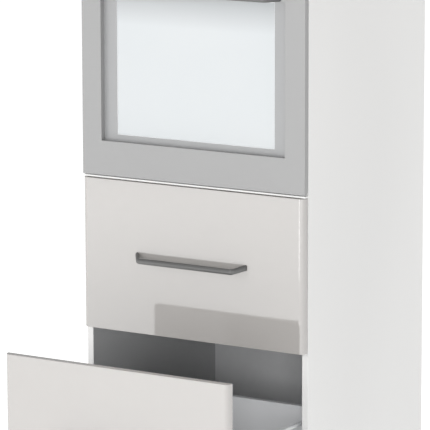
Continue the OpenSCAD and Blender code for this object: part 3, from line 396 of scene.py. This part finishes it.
def ease_edges(piece, width, segments=2):
    """Takes the hard edges off a piece, and keeps its flat faces flat in the light."""
    bevel = piece.modifiers.new("eased edges", "BEVEL")
    bevel.width = width
    bevel.segments = segments
    bevel.limit_method = "ANGLE"
    bevel.angle_limit = radians(SHARP_ANGLE)
    bevel.use_clamp_overlap = True
    bevel.miter_outer = "MITER_ARC"
    evened = piece.modifiers.new("even faces", "WEIGHTED_NORMAL")
    evened.keep_sharp = True
    return piece


def stands_for(piece, node):
    """Hides a solid and puts the piece in its place, on the same body."""
    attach(piece, BODY_OF[node])
    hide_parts(node)


def merged_solid(node):
    """The solid's own triangles, merged and joined into flat faces without hollow corners."""
    bm = bmesh.new()
    bm.from_mesh(frame["nodes"][node].data)
    bmesh.ops.remove_doubles(bm, verts=bm.verts, dist=MERGE_DISTANCE)
    bmesh.ops.dissolve_limit(bm, angle_limit=radians(FLAT_ANGLE), verts=bm.verts, edges=bm.edges)
    bmesh.ops.connect_verts_concave(bm, faces=bm.faces)
    return bm


def eased_copy(node, width, finish=None, segments=2):
    """A copy of a solid with soft edges, in the finish named after its slot unless another is given."""
    piece = new_piece(node + "_finished", merged_solid(node), finish or SLOT_OF[node])
    stands_for(ease_edges(piece, width, segments), node)


def rounded_line(points, radii):
    """A line whose inner corners are replaced by arcs, one radius for each."""
    points = [Vector(point) for point in points]
    line = [points[0]]
    for before, corner, after, radius in zip(points, points[1:], points[2:], radii):
        back = before - corner
        ahead = after - corner
        half = back.angle(ahead) / 2
        cut = min(radius / tan(half), BEND_SHARE * back.length, BEND_SHARE * ahead.length)
        radius = cut * tan(half)
        centre = corner + (back.normalized() + ahead.normalized()).normalized() * (radius / sin(half))
        start = corner + back.normalized() * cut - centre
        end = corner + ahead.normalized() * cut - centre
        turn = (atan2(end.y, end.x) - atan2(start.y, start.x) + pi) % (2 * pi) - pi
        for step in range(BEND_STEPS + 1):
            angle = atan2(start.y, start.x) + turn * step / BEND_STEPS
            line.append(centre + radius * Vector((cos(angle), sin(angle))))
    return line + [points[-1]]


def bow_handle(node, place, finish, spacing, reach, thick, width, lift):
    """A bar with an oval section, swept along the bow's centre line from foot to foot.

    The centre line lies in the plan x, y with the front's face at y = 0 and the bar at y = -reach.
    Towards the feet it climbs by the lift.
    """
    foot_x = spacing / 2 + FOOT_OUTSIDE_SCREW
    bar_x = spacing / 2 - BAR_INSIDE_SCREW
    line = [(foot_x, 0), (foot_x, -FOOT_HEIGHT), (bar_x, -reach),
            (-bar_x, -reach), (-foot_x, -FOOT_HEIGHT), (-foot_x, 0)]
    line = rounded_line(line, [FOOT_BEND, BAR_BEND, BAR_BEND, FOOT_BEND])
    section = []
    for k in range(SECTION_POINTS):
        angle = 2 * pi * k / SECTION_POINTS
        section.append((copysign(abs(cos(angle)) ** OVALNESS, cos(angle)) * thick / 2,
                        copysign(abs(sin(angle)) ** OVALNESS, sin(angle)) * width / 2))
    bm = bmesh.new()
    rings = []
    for k, point in enumerate(line):
        ahead = line[min(k + 1, len(line) - 1)] - line[max(k - 1, 0)]
        side = Vector((ahead.y, -ahead.x)).normalized()
        if k in (0, len(line) - 1):
            side = Vector((1 if k == 0 else -1, 0)) * (1 if side.x * (1 if k == 0 else -1) > 0 else -1)
        run = min(1.0, max(0.0, (abs(point.x) - bar_x + CLIMB_START) / (foot_x - bar_x + CLIMB_START)))
        climb = lift * run * run * (3 - 2 * run)
        rings.append([bm.verts.new(place(point.x + side.x * out, point.y + side.y * out, up + climb))
                      for out, up in section])
    count = len(section)
    for one, two in zip(rings, rings[1:]):
        for k in range(count):
            n = (k + 1) % count
            bm.faces.new((one[k], one[n], two[n], two[k]))
    bm.faces.new(rings[0])
    bm.faces.new(rings[-1])
    bmesh.ops.recalc_face_normals(bm, faces=bm.faces)
    stands_for(new_piece(node + "_rounded", bm, finish, ROUND_BAR_ANGLE), node)


def turned(profile, x, z, steps=64):
    """A lathe piece about a line along Y; the profile's (radius, y) pairs start and end at radius 0."""
    turns = [2 * pi * k / steps for k in range(steps)]
    bm = bmesh.new()
    rings = []
    for radius, y in profile:
        if radius == 0:
            rings.append([bm.verts.new((x, y, z))])
        else:
            rings.append([bm.verts.new((x + radius * cos(a), y, z + radius * sin(a))) for a in turns])
    for one, two in zip(rings, rings[1:]):
        for k in range(steps):
            n = (k + 1) % steps
            face = [one[k % len(one)], one[n % len(one)], two[n % len(two)], two[k % len(two)]]
            face = [v for i, v in enumerate(face) if v not in face[:i]]
            if len(face) > 2:
                bm.faces.new(face)
    bmesh.ops.recalc_face_normals(bm, faces=bm.faces)
    return bm


def add_box(bm, low, high):
    """A box with corners low and high, added to a mesh."""
    x, y, z = [(low[i], high[i]) for i in range(3)]
    v = [bm.verts.new((x[i], y[j], z[k])) for i in (0, 1) for j in (0, 1) for k in (0, 1)]
    for face in ((0, 1, 3, 2), (4, 6, 7, 5), (0, 4, 5, 1), (2, 3, 7, 6), (0, 2, 6, 4), (1, 5, 7, 3)):
        bm.faces.new([v[i] for i in face])


# Repeated fittings by Geometry Nodes

def repeating_tree(name, finish, sizes, build_one):
    """A tree that puts one shape on every point of a mesh, turned by the points' own facing.

    Sizes become named inputs; build_one gets the tree, its inputs by name and gives the shape's socket.
    """
    tree = bpy.data.node_groups.new(name, "GeometryNodeTree")
    tree.interface.new_socket("Places", in_out="INPUT", socket_type="NodeSocketGeometry")
    for label, value in sizes.items():
        kind = "NodeSocketInt" if isinstance(value, int) else "NodeSocketFloat"
        socket = tree.interface.new_socket(label, in_out="INPUT", socket_type=kind)
        socket.default_value = value
    tree.interface.new_socket("Shapes", in_out="OUTPUT", socket_type="NodeSocketGeometry")
    source = add_node(tree, "NodeGroupInput")
    one = build_one(tree, source.outputs)
    facing = add_node(tree, "GeometryNodeInputNamedAttribute", {"Name": "facing"}, data_type="FLOAT_VECTOR")
    turn = add_node(tree, "FunctionNodeAlignRotationToVector", {"Vector": facing.outputs["Attribute"]},
                    axis="Z")
    placed = add_node(tree, "GeometryNodeInstanceOnPoints", {
        "Points": source.outputs["Places"], "Instance": one, "Rotation": turn.outputs["Rotation"]})
    real = add_node(tree, "GeometryNodeRealizeInstances", {"Geometry": placed.outputs["Instances"]})
    flat = add_node(tree, "GeometryNodeSetShadeSmooth", {
        "Geometry": real.outputs["Geometry"], "Shade Smooth": False})
    dressed = add_node(tree, "GeometryNodeSetMaterial", {"Geometry": flat.outputs["Geometry"]})
    dressed.inputs["Material"].default_value = FINISH[finish]
    sink = add_node(tree, "NodeGroupOutput")
    tree.links.new(dressed.outputs["Geometry"], sink.inputs["Shapes"])
    return tree


def transformed(tree, geometry, move, turn=(0, 0, 0)):
    return add_node(tree, "GeometryNodeTransform", {
        "Geometry": geometry, "Translation": move, "Rotation": turn}).outputs["Geometry"]


def combine(tree, x=0.0, y=0.0, z=0.0):
    return add_node(tree, "ShaderNodeCombineXYZ", {"X": x, "Y": y, "Z": z}).outputs["Vector"]


def scaled(tree, value, factor):
    return add_node(tree, "ShaderNodeMath", {0: value, 1: factor}, operation="MULTIPLY").outputs[0]


def cross_screw(tree, sizes):
    """A screw head with a sloped rim and a cross recess, standing on the point along the facing."""
    width = sizes["Head diameter"]
    height = sizes["Head height"]
    drum = add_node(tree, "GeometryNodeMeshCone", {
        "Vertices": sizes["Corners"], "Radius Top": scaled(tree, width, 0.36),
        "Radius Bottom": scaled(tree, width, 0.5), "Depth": height})
    arm = combine(tree, scaled(tree, width, 0.55), scaled(tree, width, 0.13), height)
    lift = combine(tree, z=scaled(tree, height, 0.9))
    arms = []
    for turn in (0, pi / 2):
        bar = add_node(tree, "GeometryNodeMeshCube", {"Size": arm}).outputs["Mesh"]
        arms.append(transformed(tree, bar, lift, (0, 0, turn)))
    cut = add_node(tree, "GeometryNodeMeshBoolean", operation="DIFFERENCE", solver="EXACT")
    tree.links.new(drum.outputs["Mesh"], cut.inputs[0])
    for bar in arms:
        tree.links.new(bar, cut.inputs[1])
    return cut.outputs["Mesh"]


def round_button(tree, sizes):
    """A low round button with a chamfered rim."""
    low = add_node(tree, "GeometryNodeMeshCylinder", {
        "Vertices": sizes["Corners"], "Radius": scaled(tree, sizes["Width"], 0.5),
        "Depth": scaled(tree, sizes["Height"], 0.6)})
    top = add_node(tree, "GeometryNodeMeshCone", {
        "Vertices": sizes["Corners"], "Radius Top": scaled(tree, sizes["Width"], 0.38),
        "Radius Bottom": scaled(tree, sizes["Width"], 0.5), "Depth": scaled(tree, sizes["Height"], 0.4)})
    both = add_node(tree, "GeometryNodeJoinGeometry")
    for part, rise in ((low, 0.3), (top, 0.6)):
        lift = combine(tree, z=scaled(tree, sizes["Height"], rise))
        tree.links.new(transformed(tree, part.outputs["Mesh"], lift), both.inputs[0])
    return both.outputs["Geometry"]


def upright_rib(tree, sizes):
    """A rib whose length lies along Y and which stands out along the facing."""
    size = combine(tree, sizes["Width"], sizes["Length"], sizes["Height"])
    return add_node(tree, "GeometryNodeMeshCube", {"Size": size}).outputs["Mesh"]


TREES = {
    "screws": repeating_tree("screw heads", "zinc_steel",
                             {"Head diameter": 6.5 * MM, "Head height": 1.6 * MM, "Corners": 16},
                             cross_screw),
    "nails": repeating_tree("panel nails", "zinc_steel",
                            {"Width": 5.0 * MM, "Height": 0.3 * MM, "Corners": 12}, round_button),
    "caps": repeating_tree("cover caps", "carcass_white",
                           {"Width": 17.0 * MM, "Height": 1.2 * MM, "Corners": 24}, round_button),
    "buffers": repeating_tree("door buffers", "soft_buffer",
                              {"Width": 8.0 * MM, "Height": 1.7 * MM, "Corners": 16}, round_button),
    "knob_ribs": repeating_tree("knob ribs", "knob_metal",
                                {"Width": 1.2 * MM, "Length": 9.0 * MM, "Height": 1.2 * MM}, upright_rib),
    "ticks": repeating_tree("dial ticks", "mark_grey",
                            {"Width": 0.9 * MM, "Length": 0.2 * MM, "Height": 4.0 * MM}, upright_rib),
}


def repeat_on(name, tree_key, places, body, sizes=None):
    """Puts the tree's shape on each (place, facing) and keeps the result as one plain mesh on a body."""
    tree = TREES[tree_key]
    mesh = bpy.data.meshes.new(name + "_places")
    mesh.from_pydata([place for place, _ in places], [], [])
    facing = mesh.attributes.new("facing", "FLOAT_VECTOR", "POINT")
    facing.data.foreach_set("vector", [part for _, direction in places for part in direction])
    holder = bpy.data.objects.new(name + "_places", mesh)
    bpy.context.scene.collection.objects.link(holder)
    modifier = holder.modifiers.new("repeat", "NODES")
    modifier.node_group = tree
    sockets = {item.name: item.identifier for item in tree.interface.items_tree if item.in_out == "INPUT"}
    for label, value in (sizes or {}).items():
        modifier[sockets[label]] = value
    evaluated = holder.evaluated_get(bpy.context.evaluated_depsgraph_get())
    made = bpy.data.meshes.new_from_object(evaluated)
    holder.modifiers.remove(modifier)
    bpy.data.objects.remove(holder)
    if "facing" in made.attributes:
        made.attributes.remove(made.attributes["facing"])
    made.name = name
    piece = bpy.data.objects.new(name, made)
    bpy.context.scene.collection.objects.link(piece)
    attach(piece, body)


# Camera, light and floor. The camera was solved from the photograph's straight lines.

camera_data = bpy.data.cameras.new("camera")
camera_data.lens = 272.33
camera_data.sensor_width = 36.0
camera_data.clip_end = 100.0
camera = bpy.data.objects.new("camera", camera_data)
bpy.context.scene.collection.objects.link(camera)
camera.matrix_world = Matrix((
    (0.850136, -0.093450, 0.518204, 3.89779),
    (0.526558, 0.155202, -0.835852, -6.25119),
    (-0.002316, 0.983453, 0.181149, 2.10141),
    (0, 0, 0, 1)))
bpy.context.scene.camera = camera
bpy.context.scene.view_settings.view_transform = "Standard"


def soft_light(name, place, aim, size, power, height=None, mirrored=False):
    """An area light; only a mirrored one shows as a reflection in glossy surfaces."""
    lamp = bpy.data.lights.new(name, "AREA")
    lamp.shape = "RECTANGLE"
    lamp.size = size
    lamp.size_y = height or size
    lamp.energy = power
    holder = bpy.data.objects.new(name, lamp)
    bpy.context.scene.collection.objects.link(holder)
    direction = Vector(aim) - Vector(place)
    holder.matrix_world = Matrix.Translation(place) @ direction.to_track_quat("-Z", "Y").to_matrix().to_4x4()
    holder.visible_glossy = mirrored


world = bpy.data.worlds.new("studio")
world.use_nodes = True
world.node_tree.nodes["Background"].inputs["Color"].default_value = (1, 1, 1, 1)
world.node_tree.nodes["Background"].inputs["Strength"].default_value = 0.43
bpy.context.scene.world = world
soft_light("left_window", (-3.0, -4.0, 2.2), (0.0, 0.0, 0.9), size=2.5, power=56.0)
soft_light("camera_side", (3.4, -5.6, 1.5), (0.0, 0.0, 0.8), size=1.2, power=94.0)
soft_light("front_fill", (0.2, -4.5, 1.15), (0.0, 0.0, 0.6), size=0.8, power=16.0)
soft_light("overhead", (0.3, -0.9, 4.4), (0.0, -0.2, 0.3), size=1.0, power=18.0)
soft_light("edge_strip", (-0.30, -2.6, 0.95), (-0.05, 0.0, 0.9), size=0.45, power=7.0, height=1.7,
           mirrored=True)

FLOOR_REACH = 30
FLOOR_Z = -0.4 * MM
floor_corners = [(x * FLOOR_REACH, y * FLOOR_REACH, FLOOR_Z) for x, y in ((-1, -1), (1, -1), (1, 1), (-1, 1))]
floor_mesh = bpy.data.meshes.new("floor")
floor_mesh.from_pydata(floor_corners, [], [(0, 1, 2, 3)])
floor = bpy.data.objects.new("floor", floor_mesh)
bpy.context.scene.collection.objects.link(floor)
floor_finish, floor_tree, floor_shader = new_surface("pale_floor", {
    "Roughness": 0.9, "Emission Color": (1, 1, 1, 1), "Emission Strength": 0.68})
floor_tint = blend_colours(floor_tree, grain(floor_tree, 0.7, 2.0), (0.93, 0.93, 0.93), (0.95, 0.95, 0.95))
floor_tree.links.new(floor_tint, floor_shader.inputs["Base Color"])
floor_mesh.materials.append(floor_finish)
floor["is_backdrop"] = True


# Carcass: boards with softly eased edges, back panels, feet and fittings

for node in ("left_side_panel", "right_side_panel"):
    eased_copy(node, 0.5 * MM, "side_board")
for node in ("bottom_panel", "oven_shelf", "shelf_nosing", "niche_top_panel", "top_panel",
             "adjustable_shelf"):
    eased_copy(node, 0.5 * MM)
eased_copy("plinth_board", 0.5 * MM, "plinth_grey")
for node in ("lower_back_panel", "upper_back_panel"):
    eased_copy(node, 0.2 * MM, "hardboard", 1)
for node in ("lower_base", "upper_base"):
    eased_copy(node, 0.4 * MM)
for node in ("lower_back_wall", "upper_back_wall"):
    eased_copy(node, 0.8 * MM)
for node in ("shelf_pins", "wall_brackets", "hinge_arms", "hinge_cups", "oven_hinge_brackets",
             "door_hinge_pins", "fixing_screws", "cabinet_runners", "lower_middle_runners",
             "upper_middle_runners"):
    eased_copy(node, 0.25 * MM)
for node in ("levelling_feet", "terminal_box", "fan_motor"):
    eased_copy(node, 0.8 * MM)

NAIL_INSET_X = 7 * MM
NAIL_INSET_Z = 8 * MM
NAIL_STEP = 120 * MM
NAIL_DEPTH = 0.1 * MM
nails = []
for node in ("lower_back_panel", "upper_back_panel"):
    low, high = corners(node)
    edge_x, rear_y = high.x - NAIL_INSET_X, high.y - NAIL_DEPTH
    z0, z1 = low.z + NAIL_INSET_Z, high.z - NAIL_INSET_Z
    steps = round((z1 - z0) / NAIL_STEP)
    nails += [(s * edge_x, rear_y, z0 + k * (z1 - z0) / steps) for s in (-1, 1) for k in range(steps + 1)]
    nails += [(x * edge_x / 3, rear_y, z) for x in (-2, -1, 0, 1, 2) for z in (z0, z1)]
repeat_on("panel_nails", "nails", [(place, (0, 1, 0)) for place in nails],
          "cabinet", {"Height": 0.1 * MM})

CAP_DEPTHS = (20 * MM, 400 * MM)
CAP_HEIGHTS = (0.160, 0.770, 0.868, 1.380, 1.470, 1.950)   # a little above and below each fixed board
cap_places = [((s * INNER_X, y, z), (-s, 0, 0)) for s in (-1, 1) for y in CAP_DEPTHS for z in CAP_HEIGHTS]
repeat_on("cover_caps", "caps", cap_places, "cabinet")


# Fronts, handles and pull-outs

for node in ("lower_front", "upper_front", "upper_door"):
    eased_copy(node, 1.0 * MM, segments=3)


def lying_on(y, z):
    """Places a handle's own length, reach and width across a face at y, about the height z."""
    return lambda length, out, up: (length, y + out, z + up)


upright_low, upright_high = corners("upper_door_handle")
UPRIGHT_X = upright_low.x + FRONT_BOW["width"] / 2
UPRIGHT_Z = (upright_low.z + upright_high.z) / 2


def upright(length, out, up):
    """Places a handle's own length, reach and width along the upper door's free edge."""
    return UPRIGHT_X + up, FRONT_Y + out, UPRIGHT_Z - length


oven_bow_low, oven_bow_high = corners("door_handle")
OVEN_BOW_Z = (oven_bow_low.z + oven_bow_high.z) / 2
bow_handle("lower_handle", lying_on(FRONT_Y - REST_OPEN, LOWER_Z + PULL_H / 2), "handle_steel", **FRONT_BOW)
bow_handle("upper_handle", lying_on(FRONT_Y, UPPER_Z + PULL_H / 2), "handle_steel", **FRONT_BOW)
bow_handle("upper_door_handle", upright, "handle_steel_upright", **FRONT_BOW)
bow_handle("door_handle", lying_on(OVEN_FACE_Y, OVEN_BOW_Z), "handle_steel", **OVEN_BOW)

for side in ("lower", "upper"):
    eased_copy(side + "_metal_sides", 1.2 * MM, segments=3)
    eased_copy(side + "_gallery_rails", 0.8 * MM, segments=3)

FLANGE_T = 2 * MM
FLANGE_SCREW_X = (238 * MM, 252 * MM)
FLANGE_SCREW_RISE = (60 * MM, 96 * MM)      # above the front's bottom edge
REAR_SCREW_X = 264.5 * MM
REAR_SCREW_RISE = (50 * MM, 85 * MM, 120 * MM, 170 * MM)


def flange_screws(z0, drawn):
    """Screws that hold a pull-out's front to the flanges of its metal sides."""
    y = FRONT_BACK_Y + FLANGE_T - drawn
    return [((s * x, y, z0 + rise), (0, 1, 0))
            for s in (-1, 1) for x in FLANGE_SCREW_X for rise in FLANGE_SCREW_RISE]


def rear_screws(z0, drawn):
    """Screws through the uprights into the back wall, seen from behind."""
    y = METAL_SIDE_REAR_Y - drawn
    return [((s * REAR_SCREW_X, y, z0 + rise), (0, 1, 0)) for s in (-1, 1) for rise in REAR_SCREW_RISE]


for side, z0, drawn in (("lower", LOWER_Z, REST_OPEN), ("upper", UPPER_Z, 0)):
    repeat_on(side + "_pullout_screws", "screws", flange_screws(z0, drawn) + rear_screws(z0, drawn),
              side + "_pullout")

BUFFER_X = 291.5 * MM
BUFFER_INSET = 8 * MM


def buffers_at(heights, drawn, sides=(-1, 1)):
    """Soft buffers on a front's back, where it meets the side panels' edges."""
    return [((s * BUFFER_X, FRONT_BACK_Y - drawn, z), (0, 1, 0)) for s in sides for z in heights]


for side, z0, drawn in (("lower", LOWER_Z, REST_OPEN), ("upper", UPPER_Z, 0)):
    heights = (z0 + BUFFER_INSET, z0 + PULL_H - BUFFER_INSET)
    repeat_on(side + "_front_buffers", "buffers", buffers_at(heights, drawn),
              side + "_pullout")
door_low, door_high = corners("upper_door")
door_buffer_heights = (door_low.z + 18 * MM, door_high.z - 17 * MM)
repeat_on("upper_door_buffers", "buffers", buffers_at(door_buffer_heights, 0, (1,)),
          "upper_door")

cups_low, cups_high = corners("hinge_cups")
CUP_H = 50 * MM
CUP_SCREW_RISE = 20.5 * MM      # above and below a hinge's middle
ARM_SCREW_RISE = 14.5 * MM
ARM_PLATE_T = 3 * MM
ARM_SCREW_Y = -4 * MM
cup_x = (cups_low.x + cups_high.x) / 2
hinge_heights = (cups_low.z + CUP_H / 2, cups_high.z - CUP_H / 2)
repeat_on("hinge_cup_screws", "screws",
          [((cup_x, cups_high.y, z + s * CUP_SCREW_RISE), (0, 1, 0)) for z in hinge_heights for s in (-1, 1)],
          "upper_door", {"Head diameter": 5.5 * MM, "Head height": 1.0 * MM})
repeat_on("hinge_arm_screws", "screws",
          [((ARM_PLATE_T - INNER_X, ARM_SCREW_Y, z + s * ARM_SCREW_RISE), (1, 0, 0))
           for z in hinge_heights for s in (-1, 1)],
          "cabinet")


# Oven: frame, mask, window, panel and knobs

eased_copy("door_frame", 0.8 * MM, segments=3)
eased_copy("door_mask", 0.4 * MM)
eased_copy("door_window", 0.5 * MM)
eased_copy("door_inner_tray", 0.4 * MM)
eased_copy("door_inner_glass", 0.5 * MM, "inner_pane")
eased_copy("control_panel", 0.8 * MM, segments=3)
eased_copy("display_glass", 0.6 * MM)
for node in ("oven_front_frame", "oven_casing", "oven_cavity", "baking_tray"):
    eased_copy(node, 0.4 * MM)

# A thin strip round the window, just inside the mask's opening, near white as a painted highlight along the
# window's edge
TRIM_W = 1 * MM
TRIM_FRONT_Y = window_low.y - 1.0 * MM
TRIM_BACK_Y = window_low.y - 0.1 * MM
trim = bmesh.new()
inside_x = OPENING_X - TRIM_W
for x0, x1, z0, z1 in ((-OPENING_X, -inside_x, OPENING_LOW_Z, OPENING_HIGH_Z),
                       (inside_x, OPENING_X, OPENING_LOW_Z, OPENING_HIGH_Z),
                       (-inside_x, inside_x, OPENING_LOW_Z, OPENING_LOW_Z + TRIM_W),
                       (-inside_x, inside_x, OPENING_HIGH_Z - TRIM_W, OPENING_HIGH_Z)):
    add_box(trim, (x0, TRIM_FRONT_Y, z0), (x1, TRIM_BACK_Y, z1))
window_trim = ease_edges(new_piece("window_trim", trim, "bright_edge"), 0.2 * MM, 1)
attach(window_trim, "oven_door")

# Knobs, in millimetres from a knob's middle on the panel's face: profile (radius, y), boxes (x, y, z)
KNOB_PROFILE = ((0, 12), (4, 12), (4, -1), (22.5, -1), (22.9, -1.8), (22.9, -12.8), (22.0, -14.0),
                (19.8, -15.0), (19.2, -17.2), (18.0, -17.8), (0, -17.8))
GRIP_BOX = ((-4, -23.9, -18.5), (4, -15.0, 18.5))
POINTER_BOX = ((-0.8, -24.05, 6), (0.8, -23.0, 17.8))
RIB_RADIUS = 22.4
RIB_Y = -7.3
RIB_COUNT = 48
TICK_RADIUS = 28.5
TICK_Y = -0.05
TICK_ANGLES = range(90, -181, -30)
knob_low, knob_high = corners("right_knob")
KNOB_X = (knob_low.x + knob_high.x) / 2
KNOB_Z = (knob_low.z + knob_high.z) / 2


def from_knob(knob_x, x, y, z):
    """A place given in millimetres from a knob's middle on the panel's face."""
    return knob_x + x * MM, OVEN_FACE_Y + y * MM, KNOB_Z + z * MM


def ring_round_knob(knob_x, radius, y, angles):
    """Places round a knob, each facing outwards."""
    return [(from_knob(knob_x, radius * cos(a), y, radius * sin(a)), (cos(a), 0, sin(a))) for a in angles]


for side, knob_x in (("left", -KNOB_X), ("right", KNOB_X)):
    body = side + "_knob"
    bm = turned([(radius * MM, OVEN_FACE_Y + y * MM) for radius, y in KNOB_PROFILE], knob_x, KNOB_Z)
    add_box(bm, *(from_knob(knob_x, *corner) for corner in GRIP_BOX))
    knob = ease_edges(new_piece(body + "_turned", bm, "knob_metal"), 0.7 * MM, 3)
    stands_for(knob, body)
    bm = bmesh.new()
    add_box(bm, *(from_knob(knob_x, *corner) for corner in POINTER_BOX))
    pointer = ease_edges(new_piece(body + "_pointer", bm, "mark_grey"), 0.1 * MM, 1)
    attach(pointer, body)
    ribs = ring_round_knob(knob_x, RIB_RADIUS, RIB_Y, [2 * pi * k / RIB_COUNT for k in range(RIB_COUNT)])
    repeat_on(body + "_ribs", "knob_ribs", ribs, body)
    ticks = ring_round_knob(knob_x, TICK_RADIUS, TICK_Y, [radians(angle) for angle in TICK_ANGLES])
    repeat_on(side + "_dial_ticks", "ticks", ticks, "cabinet")

# Solids that keep their own mesh and only get a finish
for node, finish in (("oven_insulation", "wool"), ("rack_supports", "wire"), ("wire_rack", "wire"),
                     ("fan_cover", "enamel"), ("fan_rotor", "zinc_steel"), ("grill_element", "heater"),
                     ("door_gasket", "seal")):
    solid = frame["nodes"][node]
    solid.data.materials.clear()
    solid.data.materials.append(FINISH[finish])

low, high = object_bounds()
